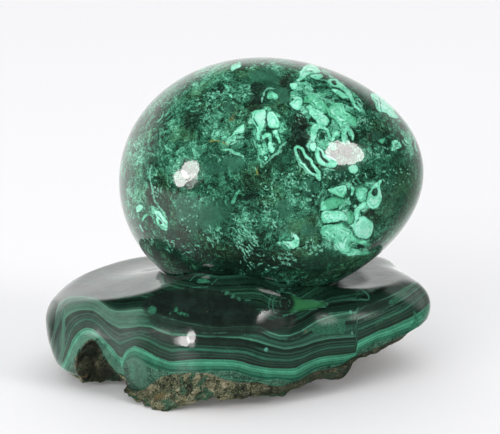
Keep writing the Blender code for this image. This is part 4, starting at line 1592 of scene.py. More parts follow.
# Strokes on the stand: their width and their path.
STAND_PALE_LINES = {
    "inner ring of the dark eye": (
        0.9, (279.5, 303), (281, 299), (285, 297.5), (289, 299.5), (290.5, 303), (288.5, 307),
        (284.5, 308.6), (281, 306.8), (279.5, 303),
    ),
    "arc round the dark eye": (
        1.1, (275, 313), (272.6, 306), (273.4, 299), (277, 294.6), (283, 291.5), (291, 292.5),
        (297, 297),
    ),
    "wider arc round the dark eye": (
        1.0, (270, 312), (268.5, 303), (272, 294), (280, 288.5), (291, 288.5),
    ),
    "arc under the dark eye": (1.0, (276, 313), (283, 315.5), (291, 313.5), (298, 309.5)),
    "arc in the wedge": (0.8, (300, 304.6), (308, 303), (317, 303), (324, 304.4)),
    "left edge": (3.2, (64.4, 309), (63.9, 318), (63.6, 330), (63.2, 345), (62.2, 358), (60, 368)),
    "hair under the highest line": (
        1.0, (96, 303.6), (104, 309.6), (117, 315), (128, 315.3), (141, 313.3),
    ),
    "second hair": (0.9, (100, 308.6), (109, 316), (119, 319.4), (133, 319.2), (147, 317.6)),
    "third hair": (0.8, (104, 315), (112, 321), (122, 323.6), (136, 322.4), (150, 322.6)),
    "ring of the first eye": (
        1.0, (191, 286.7), (200, 287.4), (207.8, 286.9), (213.3, 283.6), (216, 280),
    ),
    "upper ring of the first eye": (
        0.9, (189.6, 281.6), (194, 276), (203, 273.6), (212, 275.4), (217.6, 279.6),
    ),
    "streak left of the eye": (1.3, (150, 284.3), (158, 283.2), (170, 283.3)),
    "lower streak left of the eye": (1.0, (150, 288), (159, 286.6), (168, 286.7)),
    "falling streak": (1.1, (221, 291), (227.8, 295.6), (234.4, 298.9), (241, 301)),
    "second falling streak": (1.0, (223, 290), (232, 293.9), (242, 298.9), (250, 300.6), (256.7, 302)),
    "wedge's outline": (
        1.2, (280, 290), (290, 292.8), (296.7, 297.2), (304.4, 299.4), (315.6, 300), (324.4, 301),
        (328.9, 303.9), (326.7, 306.7), (317.8, 308.3), (307.8, 310), (297.8, 311.7), (288.9, 315),
        (280, 318.3),
    ),
    "companion of the double line": (
        0.9, (150, 322.8), (162, 327.6), (172, 330.7), (192, 331.2), (206, 332.8), (217, 332.8),
        (239, 333.8), (248, 335.2), (258, 337.4), (264, 339.6),
    ),
    "arch": (1.4, (316.7, 318.3), (322, 316), (331, 313.3), (340, 312.2), (349, 311.7)),
    "hair in the right bay": (0.9, (302, 335), (311, 334), (322, 336.7), (338, 336), (351, 335.6)),
    "hair left of the right bay": (0.9, (271, 337.8), (280, 339.4), (289, 340), (298, 338.3), (302, 335)),
    "faint left hair": (0.9, (120, 335.6), (129, 335), (138, 333), (149, 336), (160, 340)),
    "pale hook": (
        1.5, (346, 300), (354, 299.3), (360, 299.5), (368, 300), (370, 297), (368, 293), (360, 288),
    ),
    "lower pale hook": (1.1, (367, 304), (364, 307), (358, 312)),
    "facet streak": (1.1, (375, 325), (390, 317), (404, 310), (410, 306), (413, 302)),
    "upper facet streak": (1.1, (360, 322), (370, 316.6), (382, 311), (396, 303), (408, 296)),
    "third facet streak": (0.9, (362, 329), (376, 321.6), (390, 313.6), (402, 306)),
    "matrix edge": (
        1.0, (156.7, 381), (161, 376.7), (172, 373.3), (179, 372), (188, 372.2), (192, 375),
        (201, 377.8), (221, 377.2), (230, 378.9), (239, 380), (250, 381), (261, 382.8), (272, 384.4),
        (290, 386.7),
    ),
}

STAND_DARK_LINES = {
    "fault": (1.1, (352.8, 311.7), (354.4, 335), (355.6, 347), (357.8, 354)),
    "left facet groove": (1.6, (60.3, 314), (59.4, 332), (58, 350), (55.6, 366)),
    "second facet groove": (1.4, (55.6, 312), (54, 330), (52, 348)),
    "facet eye's pupil": (2.6, (137, 370), (137, 372)),
    "rim of the first eye": (1.2, (192, 283), (198, 286), (206, 286), (212, 283.4)),
    "rim of the second teal spot": (1.0, (158, 306), (158.6, 311), (155.6, 315.6)),
}

STAND_GOLD = {
    "left gold speck": (1.8, (203.6, 313.6), (205.4, 313)),
    "right gold speck": (1.8, (207.4, 311), (209, 310.2)),
    "low gold speck": (1.6, (220.4, 332), (221.6, 332)),
}

STAND_OCHRE = {
    "reddish spot": (2.6, (318.4, 285), (321.6, 285)),
    "brown spot": (3.0, (305.4, 331), (306.6, 331.4)),
    "left ochre crumb": (2.4, (75, 366.4), (79.6, 364.6)),
    "second ochre crumb": (2.6, (82.6, 377.6), (87.6, 375.6)),
    "broad ochre stain": (5.0, (155.6, 398), (160, 396.4), (164.6, 394.4)),
    "pale crumb": (2.2, (184, 400.4), (186, 399.6)),
}

# Zones of the stand's polish that mirror less or more than the rest, or whose colour carries painted
# sheen or painted light: how much, the depths in their outlines between which that fades in, and the
# outlines.
STAND_ZONES = {
    "dull": (1.2, (-7.0, 5.0), STAND_DULL),
    "shoulder": (1.1, (-4.0, 4.0), STAND_SHOULDER),
    "plateau": (0.6, (-6.0, 6.0), STAND_HALF_DULL),
    "painted_sheen": (1.0, (-4.0, 4.0), STAND_PAINTED_SHEEN),
    "streaks": (1.0, (-5.0, 4.0), STAND_STREAKS),
    "painted_light": (1.0, (-1.5, 1.5), STAND_PAINTED_LIGHT),
}

# Where the stand's front changes, by place in the drawing and by number of layer.
LEFT_FACETS = (184.0, 172.0)
RIGHT_FACETS = (262.0, 276.0)
UNDER_GLINT = ((246.0, 252.0), (320.0, 322.5))
BESIDE_GLINT = ((269.0, 272.0), (308.0, 311.0))
# Painted sheen on the left facets: where it ends across the drawing, and how strong it is.
ARCH_PAINTED_SHEEN_END = (150.0, 128.0)
ARCH_PAINTED_SHEEN = 0.55
# Painted light on the left facets over the arch: where across the drawing, and in which layers.
BAND_OVER_ARCH = ((60.0, 70.0), (152.0, 132.0))
BAND_OVER_ARCH_LAYERS = ((4.85, 5.05), (6.4, 5.9))
ABOVE_GREEN_LAYER = (2.9, 3.1)
BELOW_TOP_LAYER = (6.3, 5.9)
# Share of the painted reflection veil that the front keeps away from its facets.
VEIL_OFF_FACETS = 0.55
FOOT_LEFT = (138.0, 152.0)
FOOT_RIGHT = (232.0, 205.0)
FOOT_ROCK_RISE = 2.4
RIGHT_ROCK = (225.0, 300.0)

# Facing, by a direction's share upwards or towards the camera.
TOP_FACING = (0.35, 0.8)
SEEN_FACING = (0.0, 0.12)

# The broken stone of the hollow begins a little outside it and ends at a line of the drawing.
CAVE_MARGIN = 1.1
CAVE_RADIUS = 9.0
BROKEN_STEEPNESS = 0.6
MATRIX_LIMIT = 3.0

# The stand's back carries its front's layers, folded over a line that rises to the right and
# pushed about more and more away from it.
FOLD_LEFT_END = 57.0
FOLD_RISE = 5.5 / 114.0
BACK_FADE = (0.0, 3.0)
BACK_PUSH_FREQUENCY = 0.06
BACK_PUSH = np.array((5.0, 0.0, 4.0))
BACK_PUSH_FADE = (0.0, 20.0)


def layer_field(places):
    """Number of the layer at places of the drawing, interpolated up the pile."""
    x, y = places.T
    right = smooth_step(FAULT_X - FAULT_HALF_WIDTH, FAULT_X + FAULT_HALF_WIDTH, x)
    numbers = []
    heights = []
    for number, left_curve, right_curve in LAYERS.values():
        on_left, on_right = [np.interp(x, *np.array(c, float).T) for c in (left_curve, right_curve)]
        numbers.append(number)
        heights.append(on_left * (1.0 - right) + on_right * right)
    layer = numbers[0] - (y - heights[0]) / LAYER_BELOW
    for low in range(len(numbers) - 1):
        share = (heights[low] - y) / np.maximum(heights[low] - heights[low + 1], THINNEST_LAYER)
        layer = np.where(share > 0.0, numbers[low] + np.minimum(share, 1.0), layer)
    above = (heights[-1] - y) / LAYER_ABOVE
    return np.where(above > 0.0, numbers[-1] + above, layer)


def behind_as_front(points):
    """Places on the stand's back moved to the same place on its front, and how far behind they were."""
    fold = (points[:, 0] + FOLD_LEFT_END) * FOLD_RISE
    past = np.maximum(0.0, points[:, 1] - fold)
    pushes = np.array([noise.noise(Vector(point) * BACK_PUSH_FREQUENCY) for point in points])
    result = points.copy()
    result[:, 1] -= 2.0 * past
    return result + (pushes * smooth_step(*BACK_PUSH_FADE, past))[:, None] * BACK_PUSH, past


def zone(places, name):
    """How far places are within a zone of the stand's polish."""
    strength, fade, outlines = STAND_ZONES[name]
    return strength * smooth_step(*fade, shape_field(places, outlines.values()))


def faded(fades, values):
    """How far several values are all past their fades, from 0 to 1."""
    return math.prod(smooth_step(*fade, value) for fade, value in zip(fades, values))


def polish_fields(places, folded_places, loose, layer, seen):
    """How dull and glossy the stand's polish is, and where its colour carries a painted reflection veil,
    painted sheen and painted light.
    """
    across = folded_places[:, 0]
    in_layers = smooth_step(*BELOW_TOP_LAYER, layer)
    facets = np.maximum(smooth_step(*LEFT_FACETS, across), smooth_step(*RIGHT_FACETS, across))
    glints = [faded(fades, folded_places.T) for fades in (UNDER_GLINT, BESIDE_GLINT)]
    drawn_dull = [seen * zone(places, name) for name in ("dull", "shoulder", "plateau")]
    painted_light_over_arch = faded(BAND_OVER_ARCH, (across, across)) * faded(BAND_OVER_ARCH_LAYERS, (layer, layer))
    arch_painted_sheen = ARCH_PAINTED_SHEEN * smooth_step(*ARCH_PAINTED_SHEEN_END, across) * in_layers
    # Painted reflection veil over the layers above the green one, fuller on the facets.
    veil_share = VEIL_OFF_FACETS + (1.0 - VEIL_OFF_FACETS) * facets
    return {
        "painted_veil": smooth_step(*ABOVE_GREEN_LAYER, layer) * in_layers * veil_share,
        # Painted light on the band over the arch, the foot and the left facets.
        "painted_light": np.maximum(painted_light_over_arch, zone(loose, "painted_light")),
        # Painted sheen on the left facets and at the stand's right end.
        "painted_sheen": seen * np.maximum(arch_painted_sheen, zone(places, "painted_sheen")),
        "gloss": seen * zone(places, "streaks"),
        "satin": np.maximum.reduce((facets * in_layers, *glints, *drawn_dull)),
    }


def matrix_fields(points, places, in_front):
    """How deep points lie in the broken matrix and in the hollow, whose depth sets the hollow's painted
    shade, and how far they are in its darker right part.
    """
    directions = np.arctan2(points[:, 1] - STAND_MIDDLE[1], points[:, 0] - STAND_MIDDLE[0])
    matrix_line = stand_curves(directions)[2]
    over_foot = faded((FOOT_LEFT, FOOT_RIGHT), (places[:, 0], places[:, 0]))
    low_part = matrix_line - points[:, 2] + FOOT_ROCK_RISE * over_foot * in_front
    turn = np.array(Matrix.Rotation(CAVE_TURN, 3, "Z"))
    own = (points - np.array(CAVE_PLACE)) @ turn / np.array(CAVE_HALF_SIZE)
    cave_depth = (CAVE_MARGIN - np.linalg.norm(own, axis=1)) * CAVE_RADIUS
    broken = shape_field(places, STAND_BROKEN.values())
    # Depth into the arched hollow, which sets its painted shade.
    cave_rock = np.minimum(cave_depth, broken * BROKEN_STEEPNESS)
    return {
        "matrix": np.clip(np.maximum(low_part, cave_rock), -MATRIX_LIMIT, MATRIX_LIMIT),
        "cave": np.clip(cave_rock, -MATRIX_LIMIT, MATRIX_LIMIT),
        "right rock": smooth_step(*RIGHT_ROCK, places[:, 0]) * in_front,
    }


def stand_fields(points, normals):
    """The stand's layers, marks, polish and rough parts at its mesh's points."""
    folded, past = behind_as_front(points)
    places = front_view(points)
    folded_places = front_view(folded)
    loose = wander(folded_places, *STAND_WANDER)
    upward = smooth_step(*TOP_FACING, normals[:, 2])
    layer = layer_field(places) * upward + layer_field(folded_places) * (1.0 - upward)
    in_front = 1.0 - smooth_step(*BACK_FADE, past) * (1.0 - upward)
    seen = smooth_step(*SEEN_FACING, normals @ TOWARDS_CAMERA)
    fields = {
        "layer": layer,
        "pool": shape_field(folded_places, STAND_POOLS.values()),
        "mid": shape_field(loose, STAND_PATCHES.values()),
        "leaf": shape_field(loose, STAND_LEAF.values()),
        "pale": shape_field(loose, STAND_PALE_SHAPES.values()),
        "thread": stroke_field(loose, STAND_PALE_LINES.values()),
        "crack": stroke_field(folded_places, STAND_DARK_LINES.values()),
        "gold": stroke_field(folded_places, STAND_GOLD.values()),
        "orange": stroke_field(folded_places, STAND_OCHRE.values()),
        **polish_fields(places, folded_places, loose, layer, seen),
        **matrix_fields(points, places, in_front),
    }
    for name in ("pale", "thread", "gold"):
        fields[name] = fields[name] * in_front - FIELD_REACH * (1.0 - in_front)
    # The painted light stays on the front.
    fields["painted_light"] = fields["painted_light"] * in_front
    return fields


# Node helpers

DARKEST_SHADE = 0.12


class Nodes:
    """Short calls for building a node tree. Colours are given without their alpha."""

    def __init__(self, tree):
        self.tree = tree

    def add(self, kind):
        return self.tree.nodes.new(kind)

    def find(self, kind):
        return next(node for node in self.tree.nodes if node.bl_idname == kind)

    def link(self, source, target):
        self.tree.links.new(source, target)

    def put(self, value, target):
        """Set a socket to a number or colour, or link another socket to it."""
        if isinstance(value, bpy.types.NodeSocket):
            self.link(value, target)
        elif isinstance(value, tuple):
            target.default_value = (*value, 1.0)
        else:
            target.default_value = value

    def math(self, operation, a, b=0.0, c=0.0, clamp=False):
        node = self.add("ShaderNodeMath")
        node.operation = operation
        node.use_clamp = clamp
        for value, socket in zip((a, b, c), node.inputs):
            self.put(value, socket)
        return node.outputs[0]

    def plus(self, a, b):
        return self.math("ADD", a, b)

    def times(self, a, b):
        return self.math("MULTIPLY", a, b)

    def scaled(self, value, factor, offset):
        """An offset plus a value times a factor."""
        return self.math("MULTIPLY_ADD", value, factor, offset)

    def centred(self, value):
        return self.math("SUBTRACT", value, 0.5)

    def without(self, value):
        return self.math("SUBTRACT", 1.0, value)

    def fade(self, value, start, end):
        """0 at start, 1 at end, smooth between."""
        node = self.add("ShaderNodeMapRange")
        node.interpolation_type = "SMOOTHSTEP"
        for name, number in (("Value", value), ("From Min", start), ("From Max", end)):
            self.put(number, node.inputs[name])
        return node.outputs["Result"]

    def attribute(self, name):
        node = self.add("ShaderNodeAttribute")
        node.attribute_name = name
        return node.outputs["Fac"]

    def stone_place(self):
        """Places in the stone, in millimetres."""
        node = self.add("ShaderNodeVectorMath")
        node.operation = "SCALE"
        self.link(self.add("ShaderNodeTexCoord").outputs["Object"], node.inputs[0])
        node.inputs["Scale"].default_value = 1.0 / MM
        return node.outputs[0]

    def noise_node(self, scale, detail, roughness=0.5, distortion=0.0):
        node = self.add("ShaderNodeTexNoise")
        node.inputs["Scale"].default_value = scale
        node.inputs["Detail"].default_value = detail
        node.inputs["Roughness"].default_value = roughness
        node.inputs["Distortion"].default_value = distortion
        return node

    def noise(self, place, *looks):
        """Cloudy noise by place in the stone, about 0 to 1."""
        node = self.noise_node(*looks)
        self.link(place, node.inputs["Vector"])
        return node.outputs["Fac"]

    def bars(self, number, rate):
        """Noise that follows a number instead of a place, about -0.5 to 0.5."""
        node = self.noise_node(rate, 1.0)
        node.noise_dimensions = "1D"
        self.link(number, node.inputs["W"])
        return self.centred(node.outputs["Fac"])

    def swirled(self, place, scale, reach):
        """Places pushed about by a broad noise, which curls whatever is drawn there."""
        push = self.noise_node(scale, 3.0)
        self.link(place, push.inputs["Vector"])
        spread = self.add("ShaderNodeVectorMath")
        spread.operation = "MULTIPLY_ADD"
        self.link(push.outputs["Color"], spread.inputs[0])
        spread.inputs[1].default_value = (reach * 2.0,) * 3
        self.link(place, spread.inputs[2])
        return spread.outputs[0]

    def cells(self, place, scale, feature="F1"):
        node = self.add("ShaderNodeTexVoronoi")
        node.feature = feature
        self.link(place, node.inputs["Vector"])
        node.inputs["Scale"].default_value = scale
        return node

    def dots(self, place, scale, fade):
        """Strewn dots, 1 in their middles."""
        return self.fade(self.cells(place, scale).outputs["Distance"], *fade)

    def chips(self, place, scale):
        """Ragged chips that fill the stone: the shade of each, and how far its edge is."""
        shade = self.cells(place, scale).outputs["Color"]
        return self.centred(shade), self.cells(place, scale, "DISTANCE_TO_EDGE").outputs["Distance"]

    def lines(self, value, fade):
        """Lines along the places where a value passes its middle."""
        return self.fade(self.math("ABSOLUTE", self.centred(value)), *fade)

    def stripes(self, depth, wobble, rate, wobble_rate):
        """Soft stripes that follow a mark's outline inwards, -0.5 to 0.5."""
        phase = self.scaled(wobble, wobble_rate, self.times(depth, rate))
        return self.times(self.math("SINE", phase), 0.5)

    def brighten(self, colour, factor):
        """A colour made lighter or darker by a factor."""
        node = self.add("ShaderNodeVectorMath")
        node.operation = "SCALE"
        self.link(colour, node.inputs[0])
        self.link(self.math("MAXIMUM", factor, DARKEST_SHADE), node.inputs["Scale"])
        return node.outputs[0]

    def bump(self, shader, reliefs):
        """Fine relief: each is its height from 0 to 1 and its depth in millimetres."""
        height = 0.0
        for value, depth in reliefs:
            height = self.scaled(value, depth * MM, height)
        node = self.add("ShaderNodeBump")
        node.inputs["Distance"].default_value = 1.0
        self.link(height, node.inputs["Height"])
        self.link(node.outputs["Normal"], shader.inputs["Normal"])

    def mix(self, factor, a, b):
        node = self.add("ShaderNodeMix")
        node.data_type = "RGBA"
        self.put(factor, node.inputs[0])
        self.put(a, node.inputs[6])
        self.put(b, node.inputs[7])
        return node.outputs[2]

    def lay(self, colour, name, edge, looks, paint):
        """Paint laid over a colour inside a mark with a ragged edge."""
        edge_share, fade, strength = looks
        field = self.scaled(edge, edge_share, self.attribute(name))
        return self.mix(self.times(self.fade(field, *fade), strength), colour, paint)

    def ramp(self, value, stops):
        """Colours by a value from 0 to 1; stops are (place, colour)."""
        node = self.add("ShaderNodeValToRGB")
        self.link(value, node.inputs[0])
        elements = node.color_ramp.elements
        elements.remove(elements[-1])
        elements[0].position = stops[0][0]
        elements[0].color = (*stops[0][1], 1.0)
        for place, colour in stops[1:]:
            elements.new(place).color = (*colour, 1.0)
        return node.outputs["Color"]

    def ramp_of_layers(self, layer, tints):
        """Colours by a layer's number, for a run of the numbers."""
        first, last = tints[0][0], tints[-1][0]
        share = self.math("DIVIDE", self.math("SUBTRACT", layer, first), last - first, clamp=True)
        return self.ramp(share, [((number - first) / (last - first), tint) for number, tint in tints])


# The studio


def add_camera():
    """A long lens at the photograph's angle; the egg falls on its place in the drawing."""
    egg = Vector(EGG_CENTRE)
    place = egg + Vector(TOWARDS_CAMERA) * CAMERA_DISTANCE
    right_of_middle = (EGG_IN_DRAWING[0] - IMAGE_SIZE[0] / 2) / DRAWING_SCALE
    above_middle = (IMAGE_SIZE[1] / 2 - EGG_IN_DRAWING[1]) / DRAWING_SCALE
    aim = egg - Vector((1.0, 0.0, 0.0)) * right_of_middle - Vector(UP_IN_DRAWING) * above_middle
    data = bpy.data.cameras.new("camera")
    data.sensor_width = SENSOR_WIDTH
    data.lens = DRAWING_SCALE * CAMERA_DISTANCE / IMAGE_SIZE[0] * SENSOR_WIDTH
    data.clip_end = CAMERA_SIGHT * MM
    camera = new_object("camera", data)
    camera.location = place * MM
    camera.rotation_euler = (place - aim).to_track_quat("Z", "Y").to_euler()
    bpy.context.scene.camera = camera


def add_lamp(name, shape, place, aim, size, radiance, roll=0.0):
    """A soft lamp of a size in metres that faces a point."""
    light = bpy.data.lights.new(name, "AREA")
    light.shape = shape
    light.size, light.size_y = size
    fill = math.pi / 4 if shape == "ELLIPSE" else 1.0
    light.energy = radiance * math.pi * size[0] * size[1] * fill
    lamp = new_object(name, light)
    lamp.location = place
    facing = (Vector(place) - Vector(aim)).to_track_quat("Z", "Y")
    own_turn = Matrix.Rotation(math.radians(roll), 3, "Z").to_quaternion()
    lamp.rotation_euler = (facing @ own_turn).to_euler()
    return lamp


def add_lights():
    """Softboxes that glint on the polish, and soft light from above and in front that doesn't."""
    egg = Vector(EGG_CENTRE) * MM
    for name, (azimuth, elevation, width, height, radiance, roll) in SOFTBOXES.items():
        half_angles = [math.radians(angle / 2) for angle in (width, height)]
        size = [2.0 * SOFTBOX_DISTANCE * math.tan(angle) for angle in half_angles]
        place = egg + direction_of(azimuth, elevation) * SOFTBOX_DISTANCE
        lamp = add_lamp(name, "ELLIPSE", place, egg, size, radiance, roll)
        lamp.data.color = SOFTBOX_COLOUR
    for name, (place, aim, size, radiance) in SOFT_LAMPS.items():
        lamp = add_lamp(name, "RECTANGLE", place, aim, size, radiance)
        lamp.visible_glossy = False


def add_world():
    """A bright backdrop behind and beside the object, and a dark room before and above it."""
    world = bpy.data.worlds.new("studio")
    bpy.context.scene.world = world
    world.use_nodes = True
    n = Nodes(world.node_tree)
    parts = n.add("ShaderNodeSeparateXYZ")
    n.link(n.add("ShaderNodeTexCoord").outputs["Generated"], parts.inputs[0])
    x, y, z = parts.outputs
    behind = n.fade(n.scaled(x, -BACKDROP_SLANT, y), *BACKDROP_FRONT)
    backdrop = n.times(n.fade(z, *BACKDROP_TOP), behind)
    backdrop = n.times(backdrop, n.scaled(n.fade(x, *RIGHT_SIDE), -RIGHT_SIDE_DIMMING, 1.0))
    table_light = n.scaled(n.fade(x, *TABLE_LEFT), TABLE_LEFT_LIGHT, TABLE_LIGHT)
    table = n.math("MULTIPLY_ADD", n.fade(z, *TABLE_TOP), table_light, ROOM_LIGHT)
    strength = n.math("MAXIMUM", n.times(backdrop, BACKDROP_LIGHT), table)
    back = n.find("ShaderNodeBackground")
    back.inputs["Color"].default_value = (1.0, 1.0, 1.0, 1.0)
    n.link(strength, back.inputs["Strength"])


def add_floor():
    """A pale table. The polish mirrors the studio's own table light instead of it."""
    bm = bmesh.new()
    bmesh.ops.create_circle(bm, cap_ends=True, segments=96, radius=FLOOR_RADIUS)
    mesh = bpy.data.meshes.new("floor")
    bm.to_mesh(mesh)
    bm.free()
    floor = new_object("floor", mesh)
    floor.visible_glossy = False
    material = bpy.data.materials.new("pale_floor")
    material.use_nodes = True
    shader = material.node_tree.nodes["Principled BSDF"]
    for socket, value in FLOOR_LOOKS.items():
        shader.inputs[socket].default_value = value
    mesh.materials.append(material)


# The materials

MALACHITE_IOR = 1.85

# How marks are laid on: the share of the ragged edge that they take, the depths in the drawing
# between which they cover the stone, and how much they cover it.
EGG_EDGE = 6.5
EGG_MARKS = {
    "soft": (1.0, (-1.2, 1.6), 0.68),
    "dark": (0.45, (-0.8, 0.9), 0.86),
    "bed": (1.0, (-1.6, 1.8), 0.80),
    "thread": (0.5, (-0.45, 0.5), 0.88),
    "crack": (0.4, (-0.4, 0.4), 0.85),
    "orange": (0.8, (-0.9, 1.3), 0.65),
    "gold": (0.6, (-0.4, 0.9), 0.70),
}
STAND_EDGE = 2.0
STAND_MARKS = {
    "pool": (1.0, (-1.6, 1.8), 0.90),
    "mid": (1.0, (-0.8, 0.8), 0.85),
    "thread": (0.5, (-0.6, 0.6), 0.55),
    "pale": (0.6, (-0.6, 0.6), 0.8),
    "crack": (0.5, (-0.6, 0.6), 0.85),
    "orange": (1.6, (-1.0, 1.0), 0.45),
    "gold": (1.0, (-0.4, 0.5), 0.85),
}

# Stones of the egg's groups: their tone, and how dark the line round them is.
EGG_STONES = {"mid": (0.44, 0.50), "pale": (0.65, 0.72)}
STONE_EDGE_SHARE = 0.42
STONE_OUTLINE = (-1.6, -0.5)
STONE_FADE = (-0.35, 0.50)
STONE_STRIPES = (1.7, 9.0)
STONE_RIM = (0.0, 3.0)
LEAF_GREEN_TONE = 0.85

# Noises: waves per millimetre, detail, roughness and distortion.
EGG_NOISES = {
    "coarse": (0.24, 9.0, 0.74, 0.3),
    "fine": (2.2, 5.0, 0.78, 0.0),
    "grit": (5.5, 2.0, 0.6, 0.0),
    "ragged": (1.3, 4.0, 0.7, 0.0),
    "specks": (0.11, 3.0, 0.6, 0.0),
    "worms": (0.95, 3.0, 0.55, 0.8),
    "veins": (0.42, 4.0, 0.62, 1.0),
    "dark veins": (0.27, 5.0, 0.66, 0.8),
    "olive": (0.09, 3.0, 0.6, 0.0),
    "leaf green": (0.15, 2.0, 0.5, 0.0),
    "outlines": (0.45, 3.0, 0.6, 0.0),
    "skin": (0.5, 2.0, 0.5, 0.0),
}
STAND_NOISES = {
    "wavy": (0.25, 5.0, 0.6, 0.0),
    "coarse": (0.22, 6.0, 0.65, 0.6),
    "fine": (2.0, 5.0, 0.7, 0.0),
    "pits": (0.9, 3.0, 0.6, 0.0),
    "veins": (0.13, 5.0, 0.6, 1.2),
    "rough": (1.5, 6.0, 0.7, 0.0),
    "skin": (0.5, 3.0, 0.55, 0.0),
    "broad": (0.11, 2.0, 0.5, 0.0),
}

# Swirls: waves per millimetre and reach in millimetres. Chips and dots: cells per millimetre.
BROAD_SWIRL = (0.16, 2.4)
CURLED_SWIRL = (0.60, 0.9)
CRUMB_SWIRL = (1.4, 0.35)
GRAIN_SWIRL = (0.9, 1.2)
BIG_CHIPS = 0.17
CHIPS = 0.46
CRUMBS = 1.25
SPECKS = 1.55
PITS = 0.8
GRAINS = 0.40

# The egg's tone: how restless it is, its middle, and what the drawn clouds add, which includes
# painted shade along the bottom and painted sheen on the rims.
TONE_CONTRAST = 0.83
TONE_MIDDLE = 0.435
TONE_AND_PAINTED_LIGHT_SHARE = 0.72
CALM_CLOUD_SHARE = 0.80

# Colours of the egg by tone.
EGG_TONES = (
    (0.0, (0.004, 0.012, 0.008)),
    (0.25, (0.008, 0.036, 0.021)),
    (0.42, (0.018, 0.088, 0.050)),
    (0.52, (0.034, 0.165, 0.094)),
    (0.64, (0.068, 0.290, 0.172)),
    (0.80, (0.150, 0.530, 0.340)),
    (1.0, (0.320, 0.820, 0.590)),
)
OLIVE_TONES = ((0.25, (0.012, 0.030, 0.012)), (0.75, (0.130, 0.300, 0.120)))
SOFT_TONES = (
    (0.0, (0.010, 0.048, 0.031)),
    (0.5, (0.028, 0.118, 0.076)),
    (1.0, (0.062, 0.245, 0.155)),
)
MARK_TONES = (
    (0.0, (0.006, 0.034, 0.020)),
    (0.20, (0.022, 0.130, 0.075)),
    (0.40, (0.070, 0.340, 0.195)),
    (0.60, (0.160, 0.660, 0.400)),
    (0.80, (0.300, 0.910, 0.650)),
    (1.0, (0.520, 0.980, 0.820)),
)
EGG_BROWN = (0.036, 0.029, 0.020)
EGG_DARK = ((0.006, 0.015, 0.011), (0.026, 0.076, 0.050))
STONE_OUTLINE_GREEN = (0.009, 0.040, 0.026)
LEAF_GREEN = (0.040, 0.330, 0.140)
THREAD_GREENS = ((0.100, 0.420, 0.270), (0.340, 0.850, 0.620))
EGG_CRACK = (0.008, 0.026, 0.018)
EGG_OCHRE = (0.160, 0.090, 0.012)
EGG_GOLD = (0.330, 0.300, 0.040)

# Colours of the stand, of its polish and of its broken matrix.
LOWEST_TONES = ((0.25, (0.010, 0.030, 0.020)), (0.5, (0.040, 0.115, 0.075)), (0.75, (0.120, 0.260, 0.175)))
POOL_DARKS = ((0.007, 0.012, 0.010), (0.013, 0.025, 0.020))
PATCH_GREENS = ((0.014, 0.085, 0.046), (0.052, 0.250, 0.145))
LEAF_BORDER = (0.008, 0.024, 0.015)
LEAF_TONES = ((0.0, (0.012, 0.060, 0.024)), (0.35, (0.017, 0.095, 0.038)), (1.0, (0.034, 0.180, 0.066)))
STAND_THREAD = (0.080, 0.300, 0.190)
STAND_PALE = (0.150, 0.500, 0.370)
STAND_CRACK = (0.008, 0.024, 0.018)
STAND_OCHRE_TINT = (0.260, 0.160, 0.055)
STAND_GOLD_TINT = (0.360, 0.280, 0.060)
ROCK_TONES = (
    (0.0, (0.007, 0.009, 0.005)),
    (0.28, (0.024, 0.032, 0.018)),
    (0.44, (0.070, 0.088, 0.046)),
    (0.58, (0.150, 0.168, 0.090)),
    (0.74, (0.270, 0.262, 0.150)),
    (1.0, (0.460, 0.420, 0.280)),
)
ROCK_GREENS = ((0.016, 0.050, 0.030), (0.080, 0.200, 0.110))
# Painted shade deep in the arched hollow.
CAVE_PAINTED_SHADE = (0.006, 0.009, 0.006)
RIGHT_ROCK_DARK = (0.016, 0.028, 0.017)
# A pale grey painted sheen of reflection on the polish.
PAINTED_SHEEN = (0.42, 0.48, 0.45)
# A lighter green of painted light on shaded parts of the polish.
PAINTED_LIGHT_GREEN = (0.085, 0.215, 0.150)
# A grey-green painted reflection veil over the polish's middle layers.
PAINTED_VEIL = (0.034, 0.068, 0.049)

# The stand's polish: its mirroring, and what dulls, matrix and streaks of gloss add to it.
POLISH_MIRRORING = 0.5
MATRIX_MIRRORING = -0.30
DULL_MIRRORING = -0.40
GLOSS_MIRRORING = 0.45
DULL_ROUGHNESS = 0.12
MATRIX_ROUGHNESS = 0.62


def polished_stone(name):
    """A new material with a glossy stone shader, its node helper and the shader."""
    material = bpy.data.materials.new(name)
    material.use_nodes = True
    n = Nodes(material.node_tree)
    shader = n.find("ShaderNodeBsdfPrincipled")
    shader.inputs["IOR"].default_value = MALACHITE_IOR
    return material, n, shader


class EggPatterns:
    """Noises and chips that the egg's colours share."""

    def __init__(self, n):
        self.nodes = n
        self.place = n.swirled(n.stone_place(), *BROAD_SWIRL)
        curled = n.swirled(self.place, *CURLED_SWIRL)
        self.coarse, self.fine, self.grit, self.ragged = [
            self.noise(name) for name in ("coarse", "fine", "grit", "ragged")
        ]
        self.edge = n.times(n.centred(self.ragged), EGG_EDGE)
        self.relief = n.scaled(n.centred(self.fine), 1.5, n.centred(self.coarse))
        self.big_shade, self.big_edge = n.chips(curled, BIG_CHIPS)
        self.shade, self.chip_edge = n.chips(curled, CHIPS)
        self.crumb_shade, self.crumb_edge = n.chips(n.swirled(curled, *CRUMB_SWIRL), CRUMBS)
        coarse_parts = n.fade(self.coarse, 0.46, 0.62)
        self.borders = n.times(n.fade(self.chip_edge, 0.080, 0.015), coarse_parts)
        swells = n.scaled(n.math("MINIMUM", self.big_edge, 0.35), 0.5, -0.08)
        self.chip_tone = self.sum(swells, (self.relief, 0.60), (self.shade, 0.14), (self.big_shade, 0.20))

    def noise(self, name):
        return self.nodes.noise(self.place, *EGG_NOISES[name])

    def sum(self, total, *weighted):
        """A total plus patterns, each times its weight."""
        for pattern, weight in weighted:
            total = self.nodes.scaled(pattern, weight, total)
        return total


